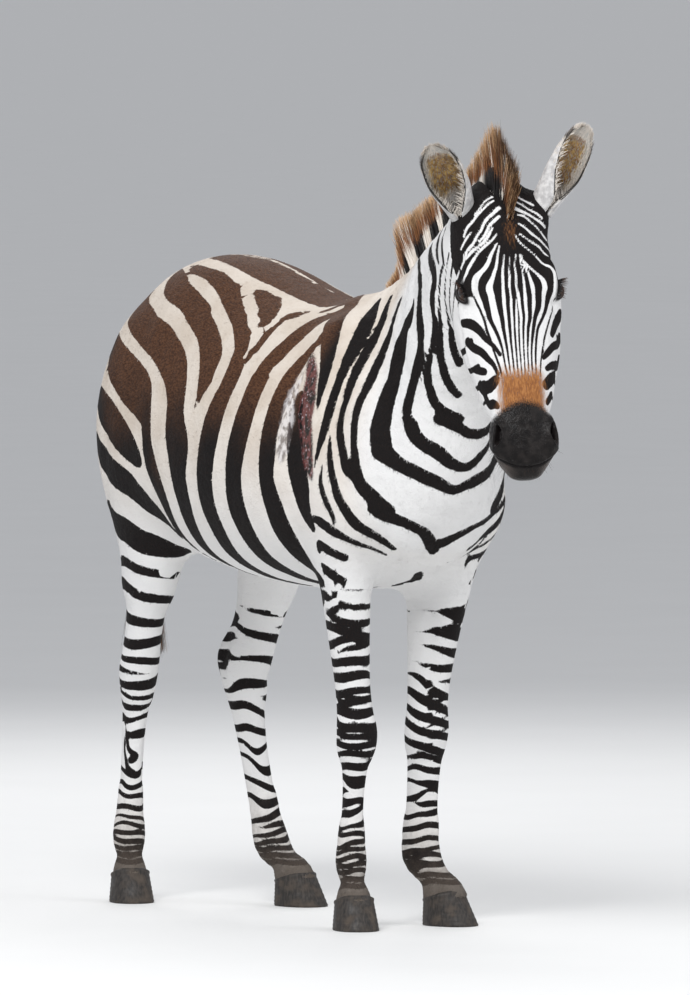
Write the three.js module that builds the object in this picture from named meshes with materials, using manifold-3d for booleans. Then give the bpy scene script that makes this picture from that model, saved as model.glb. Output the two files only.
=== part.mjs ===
// A young plains zebra as a still, life-size model, standing with its head turned to its right.
// Millimetres, +Z up, +X towards the chest, +Y to the animal's left, the hooves' soles on z = 0.
//
// The flesh is one rounded solid, made of lofts that melt into each other: each loft is a row of
// elliptical sections. It is meshed piece by piece and parted with thin flat cuts.
import * as THREE from "three";
import { mergeVertices } from "three/addons/utils/BufferGeometryUtils.js";
import Module from "manifold-3d";

// ---------------------------------------------------------------- driving dimensions
const WITHERS = 1200; // height of the back over the shoulders
const CROUP = 1272; // highest point of the rump
const BELLY = 632; // lowest point of the barrel
const BARREL = 234; // half the barrel's greatest width
const KNEE = 375; // height of the front knees
const HOCK = 450; // height of the hocks
const FETLOCK = 130; // height of the fetlock joints
const CORONET = 56; // height of a hoof
const HEAD = 537; // poll to lips
const EYE_RADIUS = 20;
const EAR_BOW = 6; // how far the middle of an ear stands forward of a straight line
const MIDDLE = 180; // from the middle of the barrel forward to the middle of the whole length
const GAP = 0.4; // between neighbouring pieces

const LEFT = 1;
const RIGHT = -1;

// ---------------------------------------------------------------- small vector helpers
const add = (a, b, k = 1) => [a[0] + k * b[0], a[1] + k * b[1], a[2] + k * b[2]];
const dot = (a, b) => a[0] * b[0] + a[1] * b[1] + a[2] * b[2];
const cross = (a, b) => [a[1] * b[2] - a[2] * b[1], a[2] * b[0] - a[0] * b[2], a[0] * b[1] - a[1] * b[0]];
const unit = (a) => a.map((v) => v / Math.hypot(...a));
const mix = (a, b, t) => a.map((v, i) => v + (b[i] - v) * t);
const radians = (degrees) => (degrees * Math.PI) / 180;

// Catmull-Rom through rows of numbers, with a few steps between each two.
function smoothRows(rows, steps) {
  const row = (i) => rows[Math.min(Math.max(i, 0), rows.length - 1)];
  const made = [];
  for (let i = 0; i < rows.length - 1; i++) {
    for (let j = 0; j < steps; j++) {
      const t = j / steps;
      const [a, b, c, d] = [row(i - 1), row(i), row(i + 1), row(i + 2)];
      made.push(b.map((v, k) => {
        const slope = (c[k] - a[k]) / 2;
        const next = (d[k] - v) / 2;
        return v + slope * t + (3 * (c[k] - v) - 2 * slope - next) * t * t
          + (2 * (v - c[k]) + slope + next) * t * t * t;
      }));
    }
  }
  made.push(rows[rows.length - 1]);
  return made;
}

// ---------------------------------------------------------------- lofts
// A row is x, y, z, half width, half height, taper. Height runs along `up`; a positive taper
// narrows the upper side. `square` above 2 flattens the sides.
const FAR = 1e6;

function loft(rows, { up = [0, 0, 1], melt = 30, square = 2, steps = 4 } = {}) {
  const fine = smoothRows(rows.map((r) => [...r, ...Array(6 - r.length).fill(0)]), steps);
  const spans = [];
  for (let i = 0; i + 1 < fine.length; i++) {
    const [a, b] = [fine[i], fine[i + 1]];
    const along = [b[0] - a[0], b[1] - a[1], b[2] - a[2]];
    const length = Math.hypot(...along);
    const dir = unit(along);
    const rise = unit(add(up, dir, -dot(up, dir)));
    const reach = length / 2 + Math.max(a[3], a[4], b[3], b[4]) + 1;
    spans.push({ a, b, dir, length, rise, side: cross(rise, dir), middle: mix(a, b, 0.5), reach });
  }
  const distance = (x, y, z) => {
    let least = FAR;
    for (const s of spans) {
      const [mx, my, mz] = [x - s.middle[0], y - s.middle[1], z - s.middle[2]];
      if (Math.sqrt(mx * mx + my * my + mz * mz) - s.reach * 1.25 > least) continue;
      const [px, py, pz] = [x - s.a[0], y - s.a[1], z - s.a[2]];
      const along = px * s.dir[0] + py * s.dir[1] + pz * s.dir[2];
      const t = Math.min(Math.max(along / s.length, 0), 1);
      const over = along - t * s.length;
      const across = px * s.side[0] + py * s.side[1] + pz * s.side[2];
      const high = px * s.rise[0] + py * s.rise[1] + pz * s.rise[2];
      const h = s.a[4] + (s.b[4] - s.a[4]) * t;
      const lean = s.a[5] + (s.b[5] - s.a[5]) * t;
      const w = (s.a[3] + (s.b[3] - s.a[3]) * t) * (1 - lean * Math.min(Math.max(high / h, -1), 1));
      const c = Math.min(w, h);
      const q = Math.hypot(over, across, high);
      const k = (Math.abs(across / w) ** square + Math.abs(high / h) ** square
        + Math.abs(over / c) ** square) ** (1 / square);
      const d = q < 1e-6 ? -c : q * (1 - 1 / k);
      if (d < least) least = d;
    }
    return least;
  };
  const low = [0, 1, 2].map((i) => Math.min(...fine.map((r) => r[i] - Math.max(r[3], r[4]))) - 90);
  const high = [0, 1, 2].map((i) => Math.max(...fine.map((r) => r[i] + Math.max(r[3], r[4]))) + 90);
  return { distance, low, high, melt };
}

// A rounded lump: one short loft with different reaches along, across and up.
function lump(at, dir, [along, across, high], options = {}) {
  const d = unit(dir);
  const row = (k, share) => [...add(at, d, along * k), across * share, high * share];
  return loft([row(-0.8, 0.55), row(-0.4, 0.9), row(0, 1), row(0.4, 0.9), row(0.8, 0.55)],
    { steps: 2, ...options });
}

function melted(a, b, k) {
  const h = Math.max(k - Math.abs(a - b), 0) / k;
  return Math.min(a, b) - (h * h * k) / 4;
}

// The distance to a list of lofts melted together.
function fleshOf(lofts) {
  const near = (f, x, y, z) => x > f.low[0] && x < f.high[0] && y > f.low[1] && y < f.high[1]
    && z > f.low[2] && z < f.high[2];
  return (x, y, z) => {
    let d = FAR;
    for (const f of lofts) if (near(f, x, y, z)) d = melted(f.distance(x, y, z), d, f.melt);
    return d;
  };
}

// ---------------------------------------------------------------- trunk and neck
const TRUNK = [
  // x, top, bottom, half width, taper
  [-540, 1095, 975, 50, 0],
  [-515, 1152, 870, 102, 0.1],
  [-445, 1208, 790, 150, 0.2],
  [-330, CROUP - 10, 720, 194, 0.2],
  [-200, CROUP - 6, 672, 218, 0.18],
  [0, 1218, 640, BARREL, 0.12],
  [150, 1188, BELLY, 232, 0.1],
  [290, 1180, 640, 200, 0.2],
  [385, WITHERS - 25, 670, 160, 0.3],
  [470, 1110, 730, 128, 0.2],
  [535, 1030, 820, 88, 0],
].map(([x, top, bottom, width, taper]) => [x, 0, (top + bottom) / 2, width, (top - bottom) / 2, taper]);

const NECK = [
  [330, 0, 970, 130, 200, 0.3],
  [420, 0, 1010, 110, 195, 0.3],
  [520, -3, 1105, 88, 172, 0.3],
  [610, -14, 1193, 77, 142, 0.28],
  [700, -32, 1262, 72, 108, 0.2],
  [790, -50, 1312, 68, 84, 0.1],
  [846, -58, 1334, 60, 62, 0],
];

function trunkLofts() {
  const made = [
    loft(TRUNK, { square: 2.25 }),
    loft(NECK, { melt: 70, square: 2.1 }),
    loft([[270, 0, 1158, 28, 30], [350, 0, 1164, 30, 32], [420, 0, 1178, 26, 34]], { melt: 60 }),
  ];
  for (const side of [LEFT, RIGHT]) {
    made.push(
      loft([ // shoulder blade
        [330, side * 85, 1120, 36, 62], [372, side * 118, 1020, 48, 92],
        [430, side * 132, 910, 50, 92], [420, side * 128, 800, 48, 84]],
      { up: [1, 0, 0], melt: 55 }),
      lump([505, side * 62, 840], [0, 0, 1], [95, 52, 48], { up: [1, 0, 0], melt: 50 }), // breast
    );
  }
  return made;
}

// ---------------------------------------------------------------- legs
// Where each leg's joints are. The left hind leg steps forward under the body.
const LEGS = {
  fore_right: { side: RIGHT, fore: true, knee: [398, -99, KNEE], fetlock: [380, -100, FETLOCK],
    sole: [408, -106], toe: -16 },
  fore_left: { side: LEFT, fore: true, knee: [338, 84, KNEE + 3], fetlock: [322, 85, FETLOCK + 2],
    sole: [392, 112], toe: 22 },
  hind_right: { side: RIGHT, fore: false, stifle: [-282, -138, 800], knee: [-430, -112, HOCK],
    fetlock: [-458, -116, FETLOCK + 2], sole: [-434, -124], toe: -18 },
  hind_left: { side: LEFT, fore: false, stifle: [-215, 140, 800], knee: [-398, 106, HOCK - 6],
    fetlock: [-277, 102, FETLOCK - 8], sole: [-180, 112], toe: 18 },
};

const toeOf = ({ toe }) => [Math.cos(radians(toe)), Math.sin(radians(toe)), 0];

// Pastern and hoof, as rows that carry on from the fetlock.
function footRows(leg, fetlockWidth) {
  const toe = toeOf(leg);
  const sole = [...leg.sole, 0];
  const band = add(add(sole, toe, -20), [0, 0, 1], CORONET);
  return [
    [...add(leg.fetlock, toe, -3), fetlockWidth, fetlockWidth + 4],
    [...mix(leg.fetlock, band, 0.55), fetlockWidth - 7, fetlockWidth - 4],
    [...band, 34, 42],
    [...add(add(sole, toe, -8), [0, 0, 1], 22), 38, 49],
    [...add(sole, [0, 0, 1], -22), 42, 56],
  ];
}

function foreleg(leg) {
  const { side, knee, fetlock } = leg;
  const toe = toeOf(leg);
  const elbow = [372, side > 0 ? 102 : -118, 745];
  const arm = (t, back, w, h, taper = 0) => [...add(mix(elbow, knee, t), toe, -back), w, h, taper];
  const shin = (t, back, w, h) => [...add(mix(knee, fetlock, t), toe, -back), w, h];
  return [
    loft([
      [408, side * 118, 830, 50, 92], arm(0, -8, 54, 88), arm(0.25, -4, 50, 70), arm(0.5, 0, 42, 54),
      arm(0.75, 2, 35, 42), arm(0.9, 0, 36, 38), arm(1, -3, 40, 40), shin(0.12, -1, 38, 38),
      shin(0.26, 1, 27, 33), shin(0.5, 4, 22, 30), shin(0.8, 5, 23, 31)],
    { up: toe, melt: 45, square: 2.1 }),
    loft([shin(0.75, 5, 23, 31), ...footRows(leg, 31)], { up: toe, melt: 14, square: 2.1 }),
  ];
}

function hindleg(leg) {
  const { side, stifle, knee, fetlock } = leg;
  const toe = toeOf(leg);
  const gaskin = (t, back, w, h) => [...add(mix(stifle, knee, t), toe, -back), w, h];
  const shin = (t, back, w, h) => [...add(mix(knee, fetlock, t), toe, -back), w, h];
  const at = (row) => row.slice(0, 3);
  const step = (stifle[0] + 282) * 0.5; // how far the thigh swings forward
  return [
    loft([ // thigh
      [-385 + step * 0.2, side * 84, 1075, 70, 106], [-382 + step * 0.5, side * 104, 985, 79, 138],
      [-372 + step, side * 115, 880, 77, 142], [-368 + step * 1.3, side * 121, 790, 69, 120],
      gaskin(0.3, 34, 57, 92), gaskin(0.5, 22, 47, 70)],
    { up: [1, 0, 0], melt: 60 }),
    loft([ // gaskin, hock and cannon
      gaskin(0.3, 30, 53, 82), gaskin(0.5, 18, 46, 64), gaskin(0.75, 3, 38, 50), gaskin(0.92, -5, 39, 47),
      shin(0, -6, 39, 47), shin(0.12, -3, 34, 42), shin(0.25, 2, 25, 34), shin(0.5, 4, 21, 29),
      shin(0.8, 5, 22, 29)],
    { up: toe, melt: 26, square: 2.1 }),
    loft([ // tendon down to the point of the hock
      [...at(gaskin(0.4, 62, 0, 0)), 18, 26], [...at(gaskin(0.7, 50, 0, 0)), 15, 19],
      [...add(add(knee, toe, -46), [0, 0, 1], 36), 17, 19], [...add(add(knee, toe, -36), [0, 0, 1], -10), 17, 18],
      [...at(shin(0.25, 22, 0, 0)), 15, 16], [...at(shin(0.7, 20, 0, 0)), 13, 13]],
    { up: toe, melt: 24 }),
    loft([shin(0.75, 5, 23, 29), ...footRows(leg, 33)], { up: toe, melt: 14, square: 2.1 }),
  ];
}

// ---------------------------------------------------------------- head
// The head's own frame: `down` from the poll to the lips, `left` to its left, `out` of the forehead.
const POLL = [862, -52, 1398];
const HEAD_YAW = radians(-21);
const HEAD_PITCH = radians(70);
const HEAD_TILT = radians(2.3);

const headAxes = (() => {
  const down = [Math.cos(HEAD_PITCH) * Math.cos(HEAD_YAW), Math.cos(HEAD_PITCH) * Math.sin(HEAD_YAW),
    -Math.sin(HEAD_PITCH)];
  const left = [-Math.sin(HEAD_YAW), Math.cos(HEAD_YAW), 0];
  const c = Math.cos(HEAD_TILT);
  const s = Math.sin(HEAD_TILT);
  const tiltedDown = add(down.map((v) => v * c), left, s);
  const tiltedLeft = add(left.map((v) => v * c), down, -s);
  return { down: tiltedDown, left: tiltedLeft, out: cross(tiltedDown, tiltedLeft) };
})();

const onHead = (down, left, out) =>
  add(add(add(POLL, headAxes.down, down), headAxes.left, left), headAxes.out, out);

const SKULL = [
  // distance down, forehead line, jaw line, half width, taper
  [-26, -30, -110, 46, 0],
  [10, -8, -150, 70, 0],
  [50, 6, -178, 84, 0.02],
  [90, 14, -198, 92, 0],
  [135, 16, -207, 95, 0],
  [175, 13, -200, 95, 0],
  [215, 9, -184, 95, 0],
  [255, 5, -164, 92, 0],
  [295, 1, -143, 85, 0.02],
  [335, -2, -124, 76, 0.05],
  [370, -5, -109, 67, 0.06],
  [402, -8, -98, 56, 0.05],
  [430, -9, -94, 55, 0.02],
  [462, -12, -92, 57, 0],
  [490, -18, -90, 55, 0],
  [HEAD - 26, -32, -86, 42, 0],
];

function headLofts() {
  const rows = SKULL.map(([s, top, bottom, width, taper]) =>
    [...onHead(s, 0, (top + bottom) / 2), width, (top - bottom) / 2, taper]);
  const up = headAxes.out;
  const made = [
    loft(rows, { up, melt: 40, square: 2.4 }),
    lump(onHead(485, 0, -84), headAxes.down, [34, 36, 22], { up, melt: 16 }), // chin
  ];
  for (const side of [LEFT, RIGHT]) {
    made.push(
      lump(onHead(150, side * 54, -130), unit(add(headAxes.down, headAxes.out, 0.3)), [112, 34, 74],
        { up, melt: 30 }), // cheek
      lump(onHead(160, side * 84, -15), headAxes.down, [42, 20, 24], { up, melt: 22 }), // brow
      lump(onHead(200, side * 81, -46), headAxes.down, [36, 16, 18], { up, melt: 18 }), // under the eye
      lump(onHead(458, side * 47, -38), headAxes.down, [36, 17, 28], { up, melt: 20 }), // nostril
      lump(onHead(22, side * 66, -42), headAxes.down, [38, 27, 32], { up, melt: 26 }), // ear root
    );
  }
  return made;
}

const eyeCentre = (side) => onHead(178, side * 80, -32);
const eyeLooks = (side) => unit(add(headAxes.left.map((v) => v * side * 0.85), headAxes.out, 0.5));

// Hollows of the head: where it is, which way it is longest, which way it is deep, half sizes.
const headHollows = (side) => [
  { at: onHead(464, side * 68, -30), along: add(headAxes.down, headAxes.out, -0.7),
    deep: add(headAxes.left.map((v) => v * side), headAxes.out, 0.5), half: [19, 9, 16] }, // nostril
  { at: add(eyeCentre(side), eyeLooks(side), 20), along: add(headAxes.down, headAxes.out, -0.3),
    deep: eyeLooks(side), half: [20, 13, 14] }, // between the lids
];

// ---------------------------------------------------------------- tail
const DOCK = [
  [-520, 2, 1146, 30, 32], [-580, 4, 1118, 26, 27], [-619, 8, 1040, 22, 22],
  [-633, 14, 940, 18, 18], [-632, 16, 840, 15, 15], [-630, 16, 730, 13, 13],
];

const TUFT = [
  [-631, 16, 775, 16, 18], [-630, 16, 700, 25, 28], [-627, 16, 610, 32, 35],
  [-624, 16, 520, 28, 31], [-621, 16, 455, 14, 16],
];

const TUFT_TOP = 770;

const lofts = [
  ...trunkLofts(),
  ...Object.values(LEGS).flatMap((leg) => (leg.fore ? foreleg(leg) : hindleg(leg))),
  ...headLofts(),
  loft(DOCK, { up: [1, 0, 0], melt: 25 }),
];
const flesh = fleshOf(lofts);

// ---------------------------------------------------------------- meshing
const wasm = await Module();
wasm.setup();

function solidOf(geometry) {
  const bare = new THREE.BufferGeometry().setAttribute("position", geometry.getAttribute("position"));
  if (geometry.index) bare.setIndex(geometry.index);
  const merged = mergeVertices(bare.index ? bare.toNonIndexed() : bare, 1e-3);
  return new wasm.Manifold(new wasm.Mesh({
    numProp: 3,
    vertProperties: merged.attributes.position.array,
    triVerts: new Uint32Array(merged.index.array),
  }));
}

function geometryOf(solid) {
  const { numProp, vertProperties, triVerts } = solid.getMesh();
  const count = vertProperties.length / numProp;
  const place = new Float32Array(count * 3);
  for (let i = 0; i < count; i++) place.set(vertProperties.subarray(i * numProp, i * numProp + 3), i * 3);
  const made = new THREE.BufferGeometry().setAttribute("position", new THREE.BufferAttribute(place, 3));
  made.setIndex(new THREE.BufferAttribute(triVerts, 1));
  return made;
}

// A cell's corners, its twelve edges, and the four edges round each of its faces.
const CORNERS = [0, 1, 2, 3, 4, 5, 6, 7].map((c) => [c & 1, (c >> 1) & 1, c >> 2]);
const EDGES = [[0, 1], [2, 3], [4, 5], [6, 7], [0, 2], [1, 3], [4, 6], [5, 7], [0, 4], [1, 5], [2, 6], [3, 7]];
const SIDES = [0, 1, 2].flatMap((axis) => [0, 1].map((end) =>
  EDGES.map((e, n) => n).filter((n) => EDGES[n].every((c) => CORNERS[c][axis] === end))));

const UPRIGHT = { at: [0, 0, 0], axes: [[1, 0, 0], [0, 1, 0], [0, 0, 1]] };

// The crossed edges of a cell, gathered into the loops that the surface makes through it.
function loopsThrough(v) {
  const group = EDGES.map(([a, b], n) => (v[a] < 0 === v[b] < 0 ? -1 : n));
  const inner = (n) => EDGES[n].find((c) => v[c] < 0);
  const join = (a, b) => {
    const [from, to] = [group[a], group[b]];
    group.forEach((g, n) => {
      if (g === from) group[n] = to;
    });
  };
  for (const side of SIDES) {
    const crossed = side.filter((n) => group[n] >= 0);
    for (const a of crossed)
      for (const b of crossed) if (a < b && (crossed.length === 2 || inner(a) === inner(b))) join(a, b);
  }
  return group;
}

// A net of vertices, one for each loop of the surface in each cell, drawn onto the surface.
function meshField(field, low, high, cell, frame = UPRIGHT) {
  const size = [0, 1, 2].map((i) => Math.ceil((high[i] - low[i]) / cell[i]) + 1);
  const [nx, ny, nz] = size;
  const at = (i, j, k) => i + nx * (j + ny * k);
  const place = (...ijk) => ijk.reduce((p, n, m) => add(p, frame.axes[m], low[m] + n * cell[m]), frame.at);
  const values = new Float32Array(nx * ny * nz).fill(FAR);
  for (let k = 1; k < nz - 1; k++)
    for (let j = 1; j < ny - 1; j++)
      for (let i = 1; i < nx - 1; i++) values[at(i, j, k)] = field(...place(i, j, k));
  const vertexOf = new Map();
  const points = [];
  for (let k = 0; k < nz - 1; k++)
    for (let j = 0; j < ny - 1; j++)
      for (let i = 0; i < nx - 1; i++) {
        const v = CORNERS.map(([a, b, c]) => values[at(i + a, j + b, k + c)]);
        if (v.every((d) => d < 0) || v.every((d) => d >= 0)) continue;
        const group = loopsThrough(v);
        for (const g of new Set(group.filter((n) => n >= 0))) {
          const sum = [0, 0, 0];
          let crossings = 0;
          EDGES.forEach(([a, b], n) => {
            if (group[n] !== g) return;
            const t = Math.max(v[a], v[b]) > FAR / 2 ? 0.5 : v[a] / (v[a] - v[b]);
            CORNERS[a].forEach((c, m) => (sum[m] += c + (CORNERS[b][m] - c) * t));
            vertexOf.set(at(i, j, k) * 12 + n, points.length);
            crossings++;
          });
          points.push(place(...[i, j, k].map((c, m) => c + sum[m] / crossings)));
        }
      }
  const faces = [];
  const AROUND = [[1, 2], [2, 0], [0, 1]];
  for (let k = 0; k < nz - 1; k++)
    for (let j = 0; j < ny - 1; j++)
      for (let i = 0; i < nx - 1; i++) {
        const here = values[at(i, j, k)] < 0;
        for (let axis = 0; axis < 3; axis++) {
          const step = [0, 0, 0];
          step[axis] = 1;
          if (here === values[at(i + step[0], j + step[1], k + step[2])] < 0) continue;
          const [u, w] = AROUND[axis];
          const vertex = (du, dw) => {
            const c = [i, j, k];
            c[u] -= du;
            c[w] -= dw;
            const bits = [0, 0, 0];
            bits[u] = du;
            bits[w] = dw;
            const [first, second] = bits.filter((b, n) => n !== axis);
            return vertexOf.get(at(...c) * 12 + axis * 4 + first + 2 * second);
          };
          const quad = [vertex(0, 0), vertex(1, 0), vertex(1, 1), vertex(0, 1)];
          if (!here) quad.reverse();
          faces.push(quad[0], quad[1], quad[2], quad[0], quad[2], quad[3]);
        }
      }
  drawOntoSurface(points, field, Math.min(...cell));
  const geometry = new THREE.BufferGeometry();
  geometry.setAttribute("position", new THREE.BufferAttribute(new Float32Array(points.flat()), 3));
  geometry.setIndex(faces);
  return solidOf(geometry);
}

function drawOntoSurface(points, field, cell) {
  const h = 0.8;
  for (const p of points)
    for (let pass = 0; pass < 3; pass++) {
      const d = field(...p);
      const slope = [0, 1, 2].map((i) => {
        const more = [...p];
        const less = [...p];
        more[i] += h;
        less[i] -= h;
        return (field(...more) - field(...less)) / (2 * h);
      });
      const steep = dot(slope, slope);
      if (Math.abs(d) > cell || steep < 0.04) break;
      slope.forEach((g, i) => (p[i] -= Math.max(-0.3 * cell, Math.min(0.3 * cell, (d * g) / steep))));
    }
}

function ellipsoid({ at, along, deep, half }) {
  const x = unit(along);
  const z = unit(add(deep, x, -dot(deep, x)));
  const turn = new THREE.Matrix4().makeBasis(...[x, cross(z, x), z].map((v) => new THREE.Vector3(...v)));
  return solidOf(new THREE.IcosahedronGeometry(1, 1).scale(...half).applyMatrix4(turn).translate(...at));
}

// A big block whose face lies through `at`; it fills the side that `away` points to.
function block(at, away, gap = 0) {
  const size = 4000;
  const out = unit(away);
  const turn = new THREE.Quaternion().setFromUnitVectors(new THREE.Vector3(0, 0, 1), new THREE.Vector3(...out));
  const box = new THREE.BoxGeometry(size, size, size).applyQuaternion(turn);
  box.translate(...add(at, out, size / 2 - gap));
  return solidOf(box);
}

const cutAway = (solid, ...planes) =>
  planes.reduce((left, [at, away]) => left.subtract(block(at, away, GAP / 2)), solid);

// ---------------------------------------------------------------- where the pieces part
const flip = ([at, away]) => [at, away.map((v) => -v)];
const HEAD_CUT = [onHead(18, 0, -70), unit(add(headAxes.down, headAxes.out, 0.48))]; // behind the cheeks
const THROAT_CUT = [onHead(150, 0, -236), headAxes.out]; // under the jaw
const NECK_CUT = [[440, 0, 1010], [0.87, 0, 0.49]];
const NECK_FRAME = { at: [480, 0, 1060], axes: [unit([0.76, -0.1, 0.64]), unit([0.1, 1, 0]), [0, 0, 0]] };
NECK_FRAME.axes[2] = cross(NECK_FRAME.axes[0], NECK_FRAME.axes[1]);
const HEAD_FRAME = { at: POLL, axes: [headAxes.down, headAxes.left, headAxes.out] };
const HEAD_GRID = [[-90, -150, -270], [HEAD + 40, 150, 70], [25, 20, 20], HEAD_FRAME];
const NECK_GRID = [[-190, -240, -300], [560, 240, 330], [58, 41, 44], NECK_FRAME];
const TAIL_CUT = [[-601, 0, 1120], [-1, 0, 0]];

function legCuts(leg) {
  const { side, fore, knee, fetlock, sole } = leg;
  const toe = toeOf(leg);
  const top = fore
    ? [[400, side * 104, 692], [0.12, -side * 0.56, 0.83]]
    : [[-370, side * 104, 812], [0.3, -side * 0.4, 0.87]];
  const beside = fore ? [[288, 0, 700], [-1, 0, 0]] : [[-215, 0, 700], [1, 0, 0.3]];
  const inner = [[0, side * 2, 0], [0, -side, 0]];
  const above = fore ? [add(knee, [0, 0, 1], 58), [0, 0, 1]] : [add(knee, [0, 0, 1], 86), [-0.25, 0, 0.97]];
  const band = [add([...sole, CORONET], toe, -20), unit(add([0, 0, 1], toe, 0.28))];
  return { top, beside, inner, above, band };
}

function boxAround(points, margin) {
  const low = [0, 1, 2].map((i) => Math.min(...points.map((p) => p[i])) - margin);
  const high = [0, 1, 2].map((i) => Math.max(...points.map((p) => p[i])) + margin);
  return [low, high];
}

const pieces = {};

function makeLegs() {
  for (const [name, leg] of Object.entries(LEGS)) {
    const { top, beside, inner, above, band } = legCuts(leg);
    const { side, fore, knee, fetlock, sole } = leg;
    const hip = fore ? [400, side * 120, 790] : [-380, side * 120, 960];
    const [lowUp, highUp] = boxAround([hip, knee], fore ? 150 : 210);
    if (side > 0) lowUp[1] = -40;
    else highUp[1] = 40;
    lowUp[2] = knee[2] + 20;
    const upper = cutAway(meshField(flesh, lowUp, highUp, fore ? [33, 31, 50] : [44, 40, 54]),
      top, beside, inner, flip(above), ...(fore ? [] : [TAIL_CUT]));
    const [lowDown, highDown] = boxAround([add(knee, [0, 0, 1], 120), fetlock, [...sole, 60]], 95);
    lowDown[2] = 20;
    const lower = cutAway(meshField(flesh, lowDown, highDown, [21, 19.5, 38]), above, flip(band));
    const [lowHoof, highHoof] = boxAround([[...sole, 50]], 105);
    lowHoof[2] = -18;
    const hoof = cutAway(meshField(flesh, lowHoof, highHoof, [19, 19, 25]), band)
      .subtract(block([0, 0, 0], [0, 0, -1]));
    const label = name.startsWith("fore") ? name.replace("fore", "foreleg") : name.replace("hind", "hindleg");
    pieces[`${label}_upper`] = largest(upper);
    pieces[`${label}_lower`] = largest(lower);
    pieces[`hoof_${name}`] = largest(hoof);
  }
}

// Cuts can leave slivers of a neighbour behind; the piece itself is the largest body.
function largest(solid) {
  const bodies = solid.decompose();
  return bodies.reduce((a, b) => (b.volume() > a.volume() ? b : a));
}

function makeTrunk() {
  let trunk = cutAway(meshField(flesh, [-690, -330, 560], [640, 330, 1330], [80, 60, 58]), NECK_CUT, TAIL_CUT);
  for (const leg of Object.values(LEGS)) {
    const { top, beside, inner } = legCuts(leg);
    let region = block([0, 0, 0], [0, 0, -1], 2000);
    for (const [at, away] of [top, beside, inner]) region = region.subtract(block(at, away, -GAP / 2));
    trunk = trunk.subtract(region);
  }
  pieces.trunk = largest(trunk);
  const front = block(...HEAD_CUT, GAP / 2).intersect(block(...THROAT_CUT, GAP / 2));
  pieces.neck = largest(cutAway(meshField(flesh, ...NECK_GRID), flip(NECK_CUT)).subtract(front));
  pieces.tail_dock = largest(cutAway(meshField(flesh, [-760, -70, 720], [-530, 100, 1250], [14, 14, 34]),
    flip(TAIL_CUT)));
}

function makeHead() {
  let head = cutAway(meshField(flesh, ...HEAD_GRID), flip(HEAD_CUT), flip(THROAT_CUT));
  for (const side of [LEFT, RIGHT]) {
    const name = side > 0 ? "left" : "right";
    const socket = new THREE.IcosahedronGeometry(EYE_RADIUS + GAP + 2, 1).translate(...eyeCentre(side));
    head = head.subtract(solidOf(socket));
    for (const hollow of headHollows(side)) head = head.subtract(ellipsoid(hollow));
    pieces[`eye_${name}`] = solidOf(new THREE.IcosahedronGeometry(EYE_RADIUS, 2).translate(...eyeCentre(side)));
  }
  pieces.head = largest(head);
}

// A closed skin over rows of points that all have the same count, capped at both ends.
function skinOver(rings) {
  const n = rings[0].length;
  const points = rings.flat();
  const faces = [];
  for (let i = 0; i + 1 < rings.length; i++)
    for (let j = 0; j < n; j++) {
      const [a, b] = [i * n + j, i * n + ((j + 1) % n)];
      faces.push(a, b, b + n, a, b + n, a + n);
    }
  const flat = (ring) => THREE.ShapeUtils.triangulateShape(ring, []);
  const outline = rings[0].map((p, j) => {
    const [across, high] = ringPlane(rings[0], p);
    return new THREE.Vector2(across, high);
  });
  for (const [a, b, c] of flat(outline)) {
    faces.push(c, b, a);
    const top = (rings.length - 1) * n;
    faces.push(top + a, top + b, top + c);
  }
  const geometry = new THREE.BufferGeometry();
  geometry.setAttribute("position", new THREE.BufferAttribute(new Float32Array(points.flat()), 3));
  geometry.setIndex(faces);
  const solid = solidOf(geometry);
  return solid.volume() > 0 ? solid : solidOf(reversed(geometry));
}

function reversed(geometry) {
  const made = geometry.clone();
  made.setIndex(Array.from(geometry.index.array).reverse());
  return made;
}

// Where a point lies in the plane of its ring.
function ringPlane(ring, p) {
  const middle = ring.reduce((sum, q) => add(sum, q, 1 / ring.length), [0, 0, 0]);
  const across = unit(add(ring[0], middle, -1));
  const second = add(ring[Math.floor(ring.length / 4)], middle, -1);
  const high = unit(add(second, across, -dot(second, across)));
  const q = add(p, middle, -1);
  return [dot(q, across), dot(q, high)];
}

// An ear is a deep cup with a thin wall: each ring is a C that opens towards `front`.
const EARS = {
  right: { root: [26, -66, -44], tip: [-80, -136, 66], front: [0.16, -0.5, 0.85] },
  left: { root: [18, 72, -40], tip: [-125, 168, 8], front: [0.16, 0.62, 0.77] },
};
const EAR_RINGS = [
  // share of the length, half width, half depth, half angle of the C, wall
  [0, 27, 24, 171, 9],
  [0.16, 29, 26, 168, 8],
  [0.3, 34, 27, 145, 6.5],
  [0.46, 40, 25, 126, 5.5],
  [0.64, 41, 20, 112, 5],
  [0.8, 37, 14, 102, 5],
  [0.91, 28, 9, 96, 5],
  [0.975, 17, 5, 92, 5],
  [1, 9, 3, 90, 4.5],
];
const EAR_STEPS = 4;

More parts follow.
